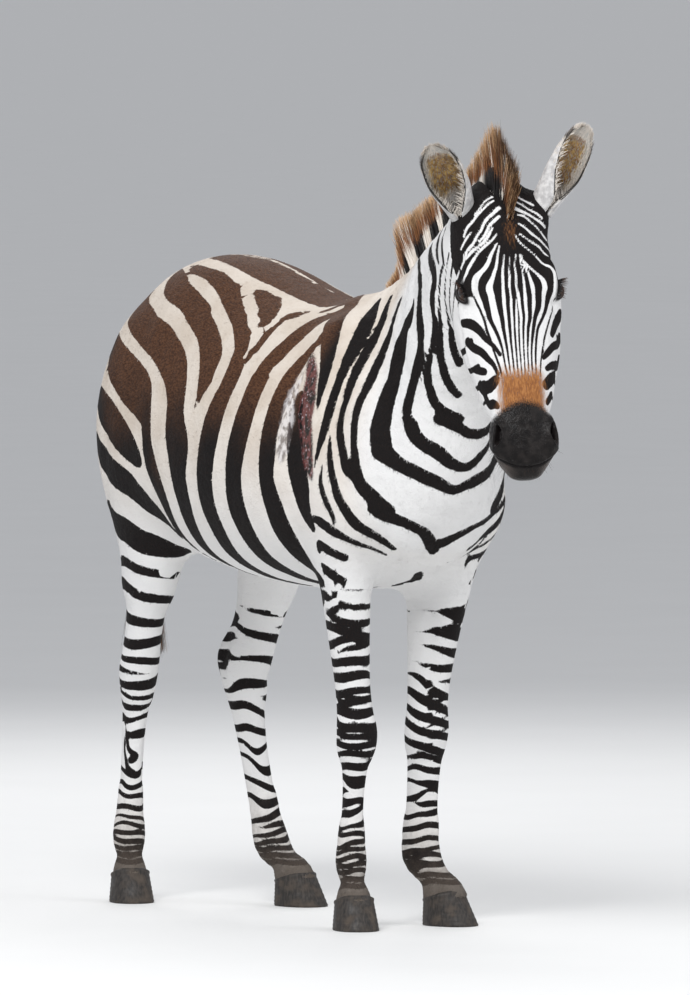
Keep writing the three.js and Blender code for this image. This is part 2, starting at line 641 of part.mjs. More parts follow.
function earSolid({ root, tip, front }) {
  const foot = onHead(...root);
  const reach = add(onHead(...tip), foot, -1);
  const axis = unit(reach);
  const facing = headAxes.down.map((v, i) => v * front[0] + headAxes.left[i] * front[1] + headAxes.out[i] * front[2]);
  const face = unit(add(facing, axis, -dot(facing, axis)));
  const side = cross(axis, face);
  const rings = EAR_RINGS.map(([share, w, d, opening, wall]) => {
    const middle = add(add(foot, reach, share), face, EAR_BOW * Math.sin(Math.PI * share));
    const ring = [];
    const spot = (angle, thinner) => add(add(middle, side, (w - thinner) * Math.sin(angle)), face,
      -(d - thinner) * Math.cos(angle));
    for (let j = -EAR_STEPS; j <= EAR_STEPS; j++) ring.push(spot(radians(opening) * (j / EAR_STEPS), 0));
    for (let j = EAR_STEPS; j >= -EAR_STEPS; j--) ring.push(spot(radians(opening - 2) * (j / EAR_STEPS), wall));
    return ring;
  });
  return skinOver(rings);
}

// The mane is a brush along the crest: roots and tips of the hair, and half its thickness.
const MANE = [
  [[385, 0, 1188], [352, 0, 1212], 8],
  [[425, 0, 1212], [398, 0, 1258], 12],
  [[460, 0, 1242], [394, 0, 1332], 15],
  [[500, -3, 1272], [447, -3, 1360], 18],
  [[570, -10, 1316], [520, -9, 1390], 20],
  [[640, -20, 1350], [602, -18, 1414], 20],
  [[715, -33, 1378], [690, -32, 1438], 20],
  [[790, -46, 1394], [765, -46, 1484], 20],
  [[858, -54, 1398], [838, -60, 1533], 18],
  [onHead(24, 0, -4), [862, -46, 1491], 15],
  [onHead(44, 0, 3), [890, -41, 1445], 11],
  [onHead(64, 0, 7), onHead(46, 4, 36), 7],
];
const CROWN_ROW = 8; // where the mane ends and the forelock begins

function maneSolid(rows) {
  const rings = rows.map(([root, tip, thick], i) => {
    const before = rows[Math.max(i - 1, 0)][0];
    const after = rows[Math.min(i + 1, rows.length - 1)][0];
    const hair = add(tip, root, -1);
    const side = unit(cross(add(after, before, -1), hair));
    const low = add(root, hair, -26 / Math.hypot(...hair));
    const spot = (share, half) => add(add(low, hair, share), side, half);
    return [spot(0, -thick), spot(0, thick), spot(0.5, thick * 0.85), spot(0.9, thick * 0.5),
      spot(1 + 26 / Math.hypot(...hair), 2), spot(1 + 26 / Math.hypot(...hair), -2), spot(0.9, -thick * 0.5),
      spot(0.5, -thick * 0.85)];
  });
  return skinOver(rings);
}

function makeHair() {
  const clear = (x, y, z) => flesh(x, y, z) - 2.5; // the flesh and a little more, to stand hair on
  const crown = meshField(clear, ...HEAD_GRID);
  const crest = meshField(clear, ...NECK_GRID);
  const bare = (solid) => [crown, crest, pieces.head, pieces.neck, pieces.trunk].reduce((a, b) => a.subtract(b), solid);
  for (const [name, ear] of Object.entries(EARS)) pieces[`ear_${name}`] = largest(bare(earSolid(ear)));
  const whole = bare(maneSolid(MANE));
  pieces.mane = largest(cutAway(whole, [MANE[CROWN_ROW][0], [0.95, -0.3, 0.14]]));
  pieces.forelock = largest(cutAway(whole, [MANE[CROWN_ROW][0], [-0.95, 0.3, -0.14]]));
  const tuft = skinOver(smoothRows(TUFT, 2).map(([x, y, z, w, h]) =>
    Array.from({ length: 10 }, (_, j) => [x + h * Math.cos(j * Math.PI / 5), y + w * Math.sin(j * Math.PI / 5), z])));
  pieces.tail_tuft = tuft.subtract(block([0, 0, TUFT_TOP - GAP], [0, 0, 1]));
  pieces.tail_dock = pieces.tail_dock.subtract(block([0, 0, TUFT_TOP], [0, 0, -1]));
}

makeTrunk();
makeLegs();
makeHead();
makeHair();

// ---------------------------------------------------------------- the model
const FINISH = {
  coat: { color: 0x6b625a, roughness: 0.8 },
  hair: { color: 0x2a1c14, roughness: 0.85 },
  hoof: { color: 0x2b2622, roughness: 0.6 },
  eye: { color: 0x120c08, roughness: 0.08 },
};
const finishOf = (name) => (name.startsWith("eye") ? "eye" : name.startsWith("hoof") ? "hoof"
  : ["mane", "forelock", "tail_tuft"].includes(name) ? "hair" : "coat");

const zebra = new THREE.Group();
zebra.name = "zebra";
for (const [name, solid] of Object.entries(pieces)) {
  const { color, roughness } = FINISH[finishOf(name)];
  const mesh = new THREE.Mesh(geometryOf(solid).translate(-MIDDLE, 0, 0),
    new THREE.MeshStandardMaterial({ name: finishOf(name), color, roughness, metalness: 0 }));
  mesh.name = name;
  zebra.add(mesh);
}

export default zebra;
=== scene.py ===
"""A young plains zebra as a still, life-size model: skin, coat, mane, eyes and hooves over the solid frame."""
import math
import bmesh
import bpy
import numpy as np
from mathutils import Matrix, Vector
from mathutils.bvhtree import BVHTree


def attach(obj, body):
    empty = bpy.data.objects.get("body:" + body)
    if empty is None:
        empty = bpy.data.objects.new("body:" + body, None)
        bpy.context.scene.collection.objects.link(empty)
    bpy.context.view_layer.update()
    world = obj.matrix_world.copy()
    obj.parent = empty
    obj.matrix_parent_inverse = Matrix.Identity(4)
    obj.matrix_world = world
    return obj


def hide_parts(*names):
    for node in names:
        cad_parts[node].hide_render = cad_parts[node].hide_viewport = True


bl_info = {
    "name": "Plains zebra",
    "version": (1, 0, 0),
    "blender": (4, 5, 0),
    "location": "3D View > Sidebar > Zebra",
    "description": "Builds a standing young plains zebra with its skin, coat, mane and stripes",
    "category": "Object",
}

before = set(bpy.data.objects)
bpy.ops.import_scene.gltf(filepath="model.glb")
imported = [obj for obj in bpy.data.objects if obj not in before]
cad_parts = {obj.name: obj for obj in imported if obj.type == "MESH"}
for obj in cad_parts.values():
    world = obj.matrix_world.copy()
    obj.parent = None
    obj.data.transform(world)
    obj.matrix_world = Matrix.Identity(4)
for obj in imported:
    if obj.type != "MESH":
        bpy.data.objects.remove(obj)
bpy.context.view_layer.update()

# ---------------------------------------------------------------- driving dimensions, millimetres
# The plan frame: +X to the chest, +Y to the animal's left, +Z up, x = 0 in the middle of the barrel.
WITHERS = 1200
CROUP = 1266
BELLY = 632
BARREL = 234
KNEE = 375
HOCK = 450
FETLOCK = 130
CORONET = 56
HEAD = 537
EYE_RADIUS = 20
EAR_BOW = 6
MIDDLE = 180  # from the middle of the barrel forward to the middle of the whole length
LEFT, RIGHT = 1, -1
FAR = 1e6
SEED = 71
MM = 0.001  # metres in a millimetre
VIEW_X, VIEW_Y = 0.866, -0.5  # the level way towards the camera
BAKE_PATCH = 0.003  # a tuft's size on the bake map


# ---------------------------------------------------------------- small vector helpers
def vec(*values):
    return np.array(values, float)


def unit(a):
    a = np.asarray(a, float)
    return a / np.maximum(np.linalg.norm(a, axis=-1, keepdims=True), 1e-9)


def mix(a, b, t):
    return np.asarray(a, float) + (np.asarray(b, float) - np.asarray(a, float)) * t


def step_between(low, high, value):
    """0 below low, 1 above high, smooth between them."""
    t = np.clip((value - low) / (high - low), 0, 1)
    return t * t * (3 - 2 * t)


def to_model(points):
    """Plan millimetres to the shared frame's metres."""
    return (np.asarray(points, float) - vec(MIDDLE, 0, 0)) * MM


def hump(*gaps):
    """1 where every gap is 0, falling away smoothly to either side; gaps are counted in widths."""
    return np.exp(-sum(gap ** 2 for gap in gaps))


def smooth_rows(rows, steps):
    """Catmull-Rom through rows of numbers, with a few steps between each two."""
    rows = np.array(rows, float)
    last = len(rows) - 1
    made = []
    t = (np.arange(steps) / steps)[:, None]
    for i in range(last):
        a, b, c, d = (rows[min(max(i + k, 0), last)] for k in (-1, 0, 1, 2))
        slope, after = (c - a) / 2, (d - b) / 2
        made.append(b + slope * t + (3 * (c - b) - 2 * slope - after) * t ** 2
                    + (2 * (b - c) + slope + after) * t ** 3)
    return np.vstack(made + [rows[-1:]])


# ---------------------------------------------------------------- lofts
class Loft:
    """Elliptical sections along a line; a row is x, y, z, half width, half height, taper."""

    def __init__(self, rows, up=(0, 0, 1), melt=30, square=2, steps=4):
        fine = smooth_rows([list(r) + [0] * (6 - len(r)) for r in rows], steps)
        self.melt, self.square = melt, square
        self.a, self.b = fine[:-1], fine[1:]
        along = self.b[:, :3] - self.a[:, :3]
        self.length = np.linalg.norm(along, axis=1)
        self.dir = unit(along)
        up = np.asarray(up, float)
        self.rise = unit(up - (self.dir @ up)[:, None] * self.dir)
        self.side = np.cross(self.rise, self.dir)
        self.middle = (self.a[:, :3] + self.b[:, :3]) / 2
        self.reach = self.length / 2 + np.maximum(self.a[:, 3:5], self.b[:, 3:5]).max(1) + 1
        size = fine[:, 3:5].max(1)[:, None]
        self.low = (fine[:, :3] - size).min(0) - 90
        self.high = (fine[:, :3] + size).max(0) + 90

    def distance(self, points):
        least = np.full(len(points), FAR)
        for i in range(len(self.length)):
            far = np.linalg.norm(points - self.middle[i], axis=1) - self.reach[i] * 1.25
            near = np.nonzero(far <= least)[0]
            if not len(near):
                continue
            p = points[near] - self.a[i, :3]
            along = p @ self.dir[i]
            t = np.clip(along / self.length[i], 0, 1)
            over = along - t * self.length[i]
            across, high = p @ self.side[i], p @ self.rise[i]
            wide, tall, lean = (self.a[i, 3:6, None] + (self.b[i, 3:6] - self.a[i, 3:6])[:, None] * t)
            wide = wide * (1 - lean * np.clip(high / tall, -1, 1))
            cap = np.minimum(wide, tall)
            q = np.sqrt(over ** 2 + across ** 2 + high ** 2)
            n = self.square
            k = (np.abs(across / wide) ** n + np.abs(high / tall) ** n + np.abs(over / cap) ** n) ** (1 / n)
            d = np.where(q < 1e-6, -cap, q * (1 - 1 / np.maximum(k, 1e-9)))
            least[near] = np.minimum(least[near], d)
        return least


def lump(at, direction, reach, **options):
    """A rounded lump: one short loft with its own reach along, across and up."""
    d = unit(direction)
    along, across, high = reach
    rows = [[*(np.asarray(at) + d * along * k), across * share, high * share]
            for k, share in ((-0.8, 0.55), (-0.4, 0.9), (0, 1), (0.4, 0.9), (0.8, 0.55))]
    return Loft(rows, **{"steps": 2, **options})


def melted(a, b, k):
    h = np.maximum(k - np.abs(a - b), 0) / k
    return np.minimum(a, b) - h * h * k / 4


def flesh_of(lofts):
    def field(points):
        d = np.full(len(points), FAR)
        for f in lofts:
            near = np.nonzero(((points > f.low) & (points < f.high)).all(1))[0]
            if len(near):
                d[near] = melted(f.distance(points[near]), d[near], f.melt)
        return d
    return field


# ---------------------------------------------------------------- trunk and neck
TRUNK = [  # x, top, bottom, half width, taper
    (-540, 1095, 975, 50, 0), (-515, 1152, 870, 102, 0.1), (-445, 1208, 790, 150, 0.2),
    (-330, CROUP - 10, 720, 194, 0.2), (-200, CROUP - 6, 672, 218, 0.18), (0, 1218, 640, BARREL, 0.12),
    (150, 1188, BELLY, 232, 0.1), (290, 1180, 640, 200, 0.2), (385, WITHERS - 25, 670, 160, 0.3),
    (470, 1110, 730, 128, 0.2), (535, 1030, 820, 88, 0),
]
NECK = [
    (330, 0, 970, 130, 200, 0.3), (420, 0, 1010, 110, 195, 0.3), (520, -3, 1105, 88, 172, 0.3),
    (610, -14, 1193, 77, 142, 0.28), (700, -32, 1262, 72, 108, 0.2), (790, -50, 1312, 68, 84, 0.1),
    (846, -58, 1334, 60, 62, 0),
]


def trunk_lofts():
    rows = [(x, 0, (top + bottom) / 2, width, (top - bottom) / 2, taper)
            for x, top, bottom, width, taper in TRUNK]
    made = [
        Loft(rows, square=2.25),
        Loft(NECK, melt=70, square=2.1),
        Loft([(270, 0, 1158, 28, 30), (350, 0, 1164, 30, 32), (420, 0, 1178, 26, 34)], melt=60),
    ]
    for side in (LEFT, RIGHT):
        blade = [(330, side * 85, 1120, 36, 62), (372, side * 118, 1020, 48, 92),
                 (430, side * 132, 910, 50, 92), (420, side * 128, 800, 48, 84)]
        made.append(Loft(blade, up=(1, 0, 0), melt=55))
        made.append(lump((505, side * 62, 840), (0, 0, 1), (95, 52, 48), up=(1, 0, 0), melt=50))
    return made


# ---------------------------------------------------------------- legs
LEGS = {
    "fore_right": dict(side=RIGHT, fore=True, knee=(398, -99, KNEE), fetlock=(380, -100, FETLOCK),
                       sole=(408, -106), toe=-16),
    "fore_left": dict(side=LEFT, fore=True, knee=(338, 84, KNEE + 3), fetlock=(322, 85, FETLOCK + 2),
                      sole=(392, 112), toe=22),
    "hind_right": dict(side=RIGHT, fore=False, stifle=(-282, -138, 800), knee=(-430, -112, HOCK),
                       fetlock=(-458, -116, FETLOCK + 2), sole=(-434, -124), toe=-18),
    "hind_left": dict(side=LEFT, fore=False, stifle=(-215, 140, 800), knee=(-398, 106, HOCK - 6),
                      fetlock=(-277, 102, FETLOCK - 8), sole=(-180, 112), toe=18),
}


def toe_of(leg):
    return vec(math.cos(math.radians(leg["toe"])), math.sin(math.radians(leg["toe"])), 0)


def foot_rows(leg, fetlock_width):
    toe, fetlock = toe_of(leg), vec(*leg["fetlock"])
    sole = vec(*leg["sole"], 0)
    band = sole - 20 * toe + vec(0, 0, CORONET)
    return [
        (*(fetlock - 3 * toe), fetlock_width, fetlock_width + 4),
        (*mix(fetlock, band, 0.55), fetlock_width - 7, fetlock_width - 4),
        (*band, 34, 42),
        (*(sole - 8 * toe + vec(0, 0, 22)), 38, 49),
        (*(sole - vec(0, 0, 22)), 42, 56),
    ]


def fore_leg(leg):
    side, toe = leg["side"], toe_of(leg)
    knee, fetlock = vec(*leg["knee"]), vec(*leg["fetlock"])
    elbow = vec(372, 102 if side > 0 else -118, 745)

    def arm(t, back, *size):
        return (*(mix(elbow, knee, t) - toe * back), *size)

    def shin(t, back, *size):
        return (*(mix(knee, fetlock, t) - toe * back), *size)

    upper = [(408, side * 118, 830, 50, 92), arm(0, -8, 54, 88), arm(0.25, -4, 50, 70), arm(0.5, 0, 42, 54),
             arm(0.75, 2, 35, 42), arm(0.9, 0, 36, 38), arm(1, -3, 40, 40), shin(0.12, -1, 38, 38),
             shin(0.26, 1, 27, 33), shin(0.5, 4, 22, 30), shin(0.8, 5, 23, 31)]
    return [Loft(upper, up=toe, melt=45, square=2.1),
            Loft([shin(0.75, 5, 23, 31), *foot_rows(leg, 31)], up=toe, melt=14, square=2.1)]


def hind_leg(leg):
    side, toe = leg["side"], toe_of(leg)
    stifle, knee, fetlock = (vec(*leg[k]) for k in ("stifle", "knee", "fetlock"))
    step = (stifle[0] + 282) * 0.5

    def gaskin(t, back, *size):
        return (*(mix(stifle, knee, t) - toe * back), *size)

    def shin(t, back, *size):
        return (*(mix(knee, fetlock, t) - toe * back), *size)

    thigh = [(-385 + step * 0.2, side * 84, 1075, 70, 106), (-382 + step * 0.5, side * 104, 985, 79, 138),
             (-372 + step, side * 115, 880, 77, 142), (-368 + step * 1.3, side * 121, 790, 69, 120),
             gaskin(0.3, 34, 57, 92), gaskin(0.5, 22, 47, 70)]
    cannon = [gaskin(0.3, 30, 53, 82), gaskin(0.5, 18, 46, 64), gaskin(0.75, 3, 38, 50), gaskin(0.92, -5, 39, 47),
              shin(0, -6, 39, 47), shin(0.12, -3, 34, 42), shin(0.25, 2, 25, 34), shin(0.5, 4, 21, 29),
              shin(0.8, 5, 22, 29)]
    tendon = [gaskin(0.4, 62, 18, 26), gaskin(0.7, 50, 15, 19), (*(knee - 46 * toe + vec(0, 0, 36)), 17, 19),
              (*(knee - 36 * toe - vec(0, 0, 10)), 17, 18), shin(0.25, 22, 15, 16), shin(0.7, 20, 13, 13)]
    return [Loft(thigh, up=(1, 0, 0), melt=60), Loft(cannon, up=toe, melt=26, square=2.1),
            Loft(tendon, up=toe, melt=24),
            Loft([shin(0.75, 5, 23, 29), *foot_rows(leg, 33)], up=toe, melt=14, square=2.1)]


# ---------------------------------------------------------------- head
POLL = vec(862, -52, 1398)
HEAD_YAW, HEAD_PITCH, HEAD_TILT = (math.radians(v) for v in (-21, 70, 2.3))


def head_axes():
    down = vec(math.cos(HEAD_PITCH) * math.cos(HEAD_YAW), math.cos(HEAD_PITCH) * math.sin(HEAD_YAW),
               -math.sin(HEAD_PITCH))
    left = vec(-math.sin(HEAD_YAW), math.cos(HEAD_YAW), 0)
    c, s = math.cos(HEAD_TILT), math.sin(HEAD_TILT)
    down, left = down * c + left * s, left * c - down * s
    return down, left, np.cross(down, left)


HEAD_DOWN, HEAD_LEFT, HEAD_OUT = head_axes()


def on_head(down, left, out):
    return POLL + np.multiply.outer(down, HEAD_DOWN) + np.multiply.outer(left, HEAD_LEFT) \
        + np.multiply.outer(out, HEAD_OUT)


def in_head(points):
    """Down from the poll, to the animal's left, and out of the forehead, for plan points."""
    q = points - POLL
    return q @ HEAD_DOWN, q @ HEAD_LEFT, q @ HEAD_OUT


SKULL = [  # distance down, forehead line, jaw line, half width, taper
    (-26, -30, -110, 46, 0), (10, -8, -150, 70, 0), (50, 6, -178, 84, 0.02), (90, 14, -198, 92, 0),
    (135, 16, -207, 95, 0), (175, 13, -200, 95, 0), (215, 9, -184, 95, 0), (255, 5, -164, 92, 0),
    (295, 1, -143, 85, 0.02), (335, -2, -124, 76, 0.05), (370, -5, -109, 67, 0.06), (402, -8, -98, 56, 0.05),
    (430, -9, -94, 55, 0.02), (462, -12, -92, 57, 0), (490, -18, -90, 55, 0), (HEAD - 26, -32, -86, 42, 0),
]


def head_lofts():
    rows = [(*on_head(s, 0, (top + bottom) / 2), width, (top - bottom) / 2, taper)
            for s, top, bottom, width, taper in SKULL]
    up = HEAD_OUT
    chin = lump(on_head(485, 0, -84), HEAD_DOWN, (34, 36, 22), up=up, melt=16)
    made = [Loft(rows, up=up, melt=40, square=2.4), chin]
    for side in (LEFT, RIGHT):
        made += [
            lump(on_head(150, side * 54, -130), HEAD_DOWN + 0.3 * HEAD_OUT, (112, 34, 74), up=up, melt=30),
            lump(on_head(160, side * 84, -15), HEAD_DOWN, (42, 20, 24), up=up, melt=22),
            lump(on_head(200, side * 81, -46), HEAD_DOWN, (36, 16, 18), up=up, melt=18),
            lump(on_head(458, side * 47, -38), HEAD_DOWN, (36, 17, 28), up=up, melt=20),
            lump(on_head(22, side * 66, -42), HEAD_DOWN, (38, 27, 32), up=up, melt=26),
        ]
    return made


JAW = [(d, -jaw) for d, line, jaw, width, taper in SKULL]
SIDES = [(d, width + 20) for d, line, jaw, width, taper in SKULL]


def of_head(points):
    """True on the head: in front of the throat and above the jaw's lower edge."""
    d, left, out = in_head(points)
    under = np.interp(d, *zip(*JAW)) + 14
    return (d + 0.48 * out > -16) & (out > -under) & (np.abs(left) < np.interp(d, *zip(*SIDES))) & (d > -40)


# Down from the poll, to the side and out of the forehead.
EYE = (178, 80, -32)
NOSTRIL = (458, 50, -22)


def on_side(place, side):
    """A place of the head, on the animal's left or right."""
    down, beside, out = place
    return on_head(down, side * beside, out)


def eye_centre(side):
    return on_side(EYE, side)


def eye_looks(side):
    return unit(side * 0.85 * HEAD_LEFT + 0.5 * HEAD_OUT)


DOCK = [(-520, 2, 1146, 30, 32), (-580, 4, 1118, 26, 27), (-619, 8, 1040, 22, 22),
        (-633, 14, 940, 18, 18), (-632, 16, 840, 15, 15), (-630, 16, 730, 13, 13)]

leg_lofts = [loft for leg in LEGS.values() for loft in (fore_leg if leg["fore"] else hind_leg)(leg)]
flesh = flesh_of([*trunk_lofts(), *leg_lofts, *head_lofts(), Loft(DOCK, up=(1, 0, 0), melt=25)])


# ---------------------------------------------------------------- the skin's net
NET_CELL = 16
NET_LOW, NET_HIGH = vec(-672, -304, -32), vec(1120, 304, 1472)


def net_of(field, low, high, cell):
    """Quads over the surface of a field, with one vertex in each cell that the surface crosses."""
    blocks = 3
    count = np.ceil((high - low) / (cell * blocks)).astype(int)
    size = count * blocks
    corner = np.stack(np.meshgrid(*(np.arange(n) for n in count), indexing="ij"), -1).reshape(-1, 3)
    rough = field(low + (corner * blocks + (blocks - 1) / 2) * cell)
    values = np.sign(rough).reshape(count) * FAR
    for axis in range(3):
        values = np.repeat(values, blocks, axis)
    near = corner[np.abs(rough) < blocks * cell * 1.2 + 20]
    inner = np.stack(np.meshgrid(*[np.arange(blocks)] * 3, indexing="ij"), -1).reshape(-1, 3)
    spots = (near[:, None] * blocks + inner).reshape(-1, 3)
    values[tuple(spots.T)] = field(low + spots * cell)
    inside = values < 0
    total, crossings = np.zeros((*size, 3)), np.zeros(size)
    quads = []
    for axis in range(3):
        step = np.eye(3, dtype=int)[axis]
        first = tuple(slice(0, size[m] - step[m]) for m in range(3))
        after = tuple(slice(step[m], size[m]) for m in range(3))
        at = np.argwhere(inside[first] != inside[after])
        at = at[(at > 0).all(1)]
        a, b = values[tuple(at.T)], values[tuple((at + step).T)]
        t = np.where(np.abs(a) + np.abs(b) > FAR / 2, 0.5, a / np.where(a == b, 1, a - b))
        place = at + step * t[:, None]
        u, w = [(1, 2), (2, 0), (0, 1)][axis]
        du, dw = np.eye(3, dtype=int)[u], np.eye(3, dtype=int)[w]
        cells = [at, at - du, at - du - dw, at - dw]
        for c in cells:
            np.add.at(total, tuple(c.T), place)
            np.add.at(crossings, tuple(c.T), 1)
        quad = np.stack([np.ravel_multi_index(tuple(c.T), tuple(size)) for c in cells], 1)
        quads.append(np.where((a < 0)[:, None], quad, quad[:, ::-1]))
    quads = np.vstack(quads)
    used, where = np.unique(quads, return_inverse=True)
    points = total.reshape(-1, 3)[used] / crossings.reshape(-1)[used][:, None]
    return low + points * cell, where.reshape(quads.shape)


def slope_of(field, points, h=0.8):
    here = field(points)
    slope = np.stack([(field(points + h * axis) - here) / h for axis in np.eye(3)], 1)
    return here, slope


def coat_depth(points):
    """How far the skin lies under the outside of the coat."""
    d, left, _ = in_head(points)
    face = step_between(20, 120, d) * (np.abs(left) < 160)
    legs = 1 - step_between(420, 640, points[:, 2])
    return mix(mix(4, 1.6, face), 2.0, legs)


def refined(points, faces, levels):
    """The net with finer quads where each of the levels says so."""
    bm = bmesh.new()
    for p in points:
        bm.verts.new(p)
    bm.verts.ensure_lookup_table()
    for f in faces:
        bm.faces.new([bm.verts[i] for i in f])
    for chosen in levels:
        middles = np.array([f.calc_center_median() for f in bm.faces])
        keep = chosen(middles)
        edges = {e for f, k in zip(bm.faces, keep) if k and len(f.verts) == 4 for e in f.edges}
        bmesh.ops.subdivide_edges(bm, edges=list(edges), cuts=1, use_grid_fill=True, smooth=0)
    mesh = bpy.data.meshes.new("net")
    bm.to_mesh(mesh)
    bm.free()
    return mesh


def coords(mesh):
    flat = np.empty(len(mesh.vertices) * 3)
    mesh.vertices.foreach_get("co", flat)
    return flat.reshape(-1, 3)


def normals(mesh):
    flat = np.empty(len(mesh.vertices) * 3)
    mesh.vertices.foreach_get("normal", flat)
    return flat.reshape(-1, 3)


def set_coords(mesh, points):
    mesh.vertices.foreach_set("co", np.asarray(points, np.float32).ravel())
    mesh.update()


def put(mesh, name, values, kind="FLOAT"):
    """A named value on each vertex."""
    layer = mesh.attributes.get(name) or mesh.attributes.new(name, kind, "POINT")
    field = "vector" if kind == "FLOAT_VECTOR" else "value"
    layer.data.foreach_set(field, np.asarray(values, np.float32).ravel())


# ---------------------------------------------------------------- stripes
def table_of(text):
    return [[tuple(float(v) for v in spot.split(",")) for spot in line.split()] for line in text.split(";")]


# Each stroke is a row of spots: two coordinates on a chart, and the stroke's width there.
# Charts: the right side (x, z), the front and rear (y, z), the top (x, y), the head (left, down).
FLANK = table_of("""
    325,1010,22 328,950,34 336,900,38 354,850,42 367,800,32 388,765,16; 318,1133,6 311,1118,16 304,1100,24
    279,1050,35 270,1000,38 261,950,36 259,900,37 260,850,34 274,800,42 284,750,42 303,700,38 335,676,30
    380,660,18; 300,1176,14 275,1164,30 250,1152,40 235,1130,44 221,1100,42 197,1050,46 186,1000,42
    175,950,45 162,900,46 155,850,44 155,800,48 163,750,46 175,700,42 200,675,34 235,655,24 290,645,14;
    240,1178,16 200,1165,22 150,1152,26 143,1100,24 118,1070,24; -5,1205,14 25,1195,34 75,1175,52
    105,1155,36 112,1135,16; -290,1243,14 -250,1238,26 -200,1230,36 -150,1222,44 -100,1212,52 -40,1190,60
    40,1150,56 68,1122,46 92,1100,40 104,1050,48 88,1000,46 70,950,50 58,900,50 48,850,50 47,800,48
    54,750,46 55,700,42 75,668,34 110,652,24 170,642,14; -345,1228,30 -300,1212,58 -230,1192,62
    -170,1172,62 -115,1150,66 -65,1122,68 -22,1100,70 2,1075,68 15,1050,62 14,1020,42 10,1000,28 -8,975,8;
    -425,1185,25 -410,1160,60 -360,1142,66 -290,1122,74 -215,1100,76 -160,1075,76 -120,1050,76 -98,1020,66
    -90,1000,58 -84,960,58 -76,930,66 -62,900,70 -60,850,52 -54,800,48 -58,750,42 -65,700,34 -45,672,26
    -10,655,18 50,642,14 120,636,10; -470,1100,25 -450,1085,50 -400,1060,66 -340,1035,72 -285,1012,74
    -245,995,70 -222,970,48 -207,950,34 -196,900,34 -172,850,40 -150,800,36 -145,750,24 -135,705,14
    -100,668,12; -470,985,36 -430,970,48 -380,948,54 -330,922,54 -290,900,48 -250,878,34 -225,862,8;
    -470,900,30 -440,880,40 -400,860,44 -350,838,46 -300,822,44 -250,793,42 -210,768,34 -185,748,22
    -160,722,8; -430,770,30 -400,742,42 -350,730,42 -310,712,38 -275,703,36 -250,692,28 -238,680,12
""")
NECK_LINES = table_of("""
    300,1165,44 328,1150,48 345,1125,44 361,1100,39 376,1070,32 384,1040,26 388,1005,14 388,985,6;
    392,1192,12 390,1178,24 402,1150,32 419,1100,30 426,1050,24 423,1000,22 419,950,24 406,905,14
    400,880,6; 440,1200,10 440,1178,20 443,1150,24 447,1100,23 454,1050,20 455,1000,18 461,950,21
    473,915,22 486,880,26 503,870,30; 500,1200,8 497,1175,16 493,1150,18 488,1100,22 484,1050,20
    487,1000,18 494,950,16 502,905,18 504,875,26 510,850,28 526,822,30 540,800,28; 585,1198,8 588,1185,14
    578,1160,26 568,1150,28 556,1125,36 545,1100,42 539,1050,42 533,1000,40 534,950,42 540,920,42
    545,905,36; 520,1275,8 575,1255,14 610,1232,18 622,1210,18 628,1180,22 628,1150,26 625,1100,26
    612,1070,24 598,1045,22 584,1005,22 582,975,22 594,950,22; 600,1300,14 645,1280,20 690,1258,24
    700,1240,22 690,1215,18 683,1180,18 680,1150,18 668,1120,14 650,1090,14 636,1060,18 632,1030,20
    634,1000,20 645,978,14; 700,1372,12 722,1335,14 745,1300,13 758,1272,10 735,1250,10 718,1215,8
    706,1180,8 697,1150,10 684,1120,14 676,1095,16 666,1050,18 662,1020,16 664,995,8; 790,1290,6
    760,1240,7 742,1210,8 735,1190,8 718,1150,10 703,1110,14 695,1080,16 688,1045,18 678,1010,16
    672,985,10; 770,1388,10 790,1350,12 806,1318,10 812,1285,8 785,1235,8 768,1200,9 756,1160,10
    742,1120,11 730,1080,12 722,1040,12 712,1000,8; 640,1345,12 665,1318,15 695,1292,15 725,1272,8;
    835,1270,5 812,1225,7 795,1185,8 782,1145,9 770,1105,10 758,1060,10 746,1015,6; 438,940,5 443,905,15
    450,875,17 459,850,18 470,825,20 484,800,22 495,775,22 505,750,20 512,728,14 515,705,6; 425,885,4
    421,860,12 427,838,16 440,815,16 452,795,12 458,775,10; 398,782,14 420,775,22 445,762,22 468,748,16
    480,735,11 487,715,8 492,690,5; 392,722,14 402,732,22 430,720,20 452,709,18 466,700,14 472,684,6;
    390,690,18 405,684,24 425,672,20 440,666,14 450,656,10
""")
WOUND = [(315, 1095, 10), (322, 1075, 28), (343, 1050, 40), (350, 1025, 46), (354, 1000, 54), (355, 975, 50),
         (362, 950, 44), (369, 925, 42), (374, 900, 38), (382, 875, 30), (392, 858, 12)]
SCUFF = [(306, 1060, 14), (306, 1048, 24), (303, 1025, 32), (298, 1000, 38), (303, 975, 42), (301, 950, 46),
         (299, 925, 42), (298, 900, 36), (298, 880, 16)]
BACK_LINE = [(-275, -30, 20), (-230, -32, 44), (-150, -36, 58), (-50, -38, 66), (50, -34, 62), (130, -32, 60),
             (200, -32, 50), (260, -34, 36)]
SPINE = [(-560, 2, 12), (-450, 0, 20), (-300, 0, 15), (-200, 0, 17), (0, 0, 18), (200, 0, 17), (330, 0, 14)]
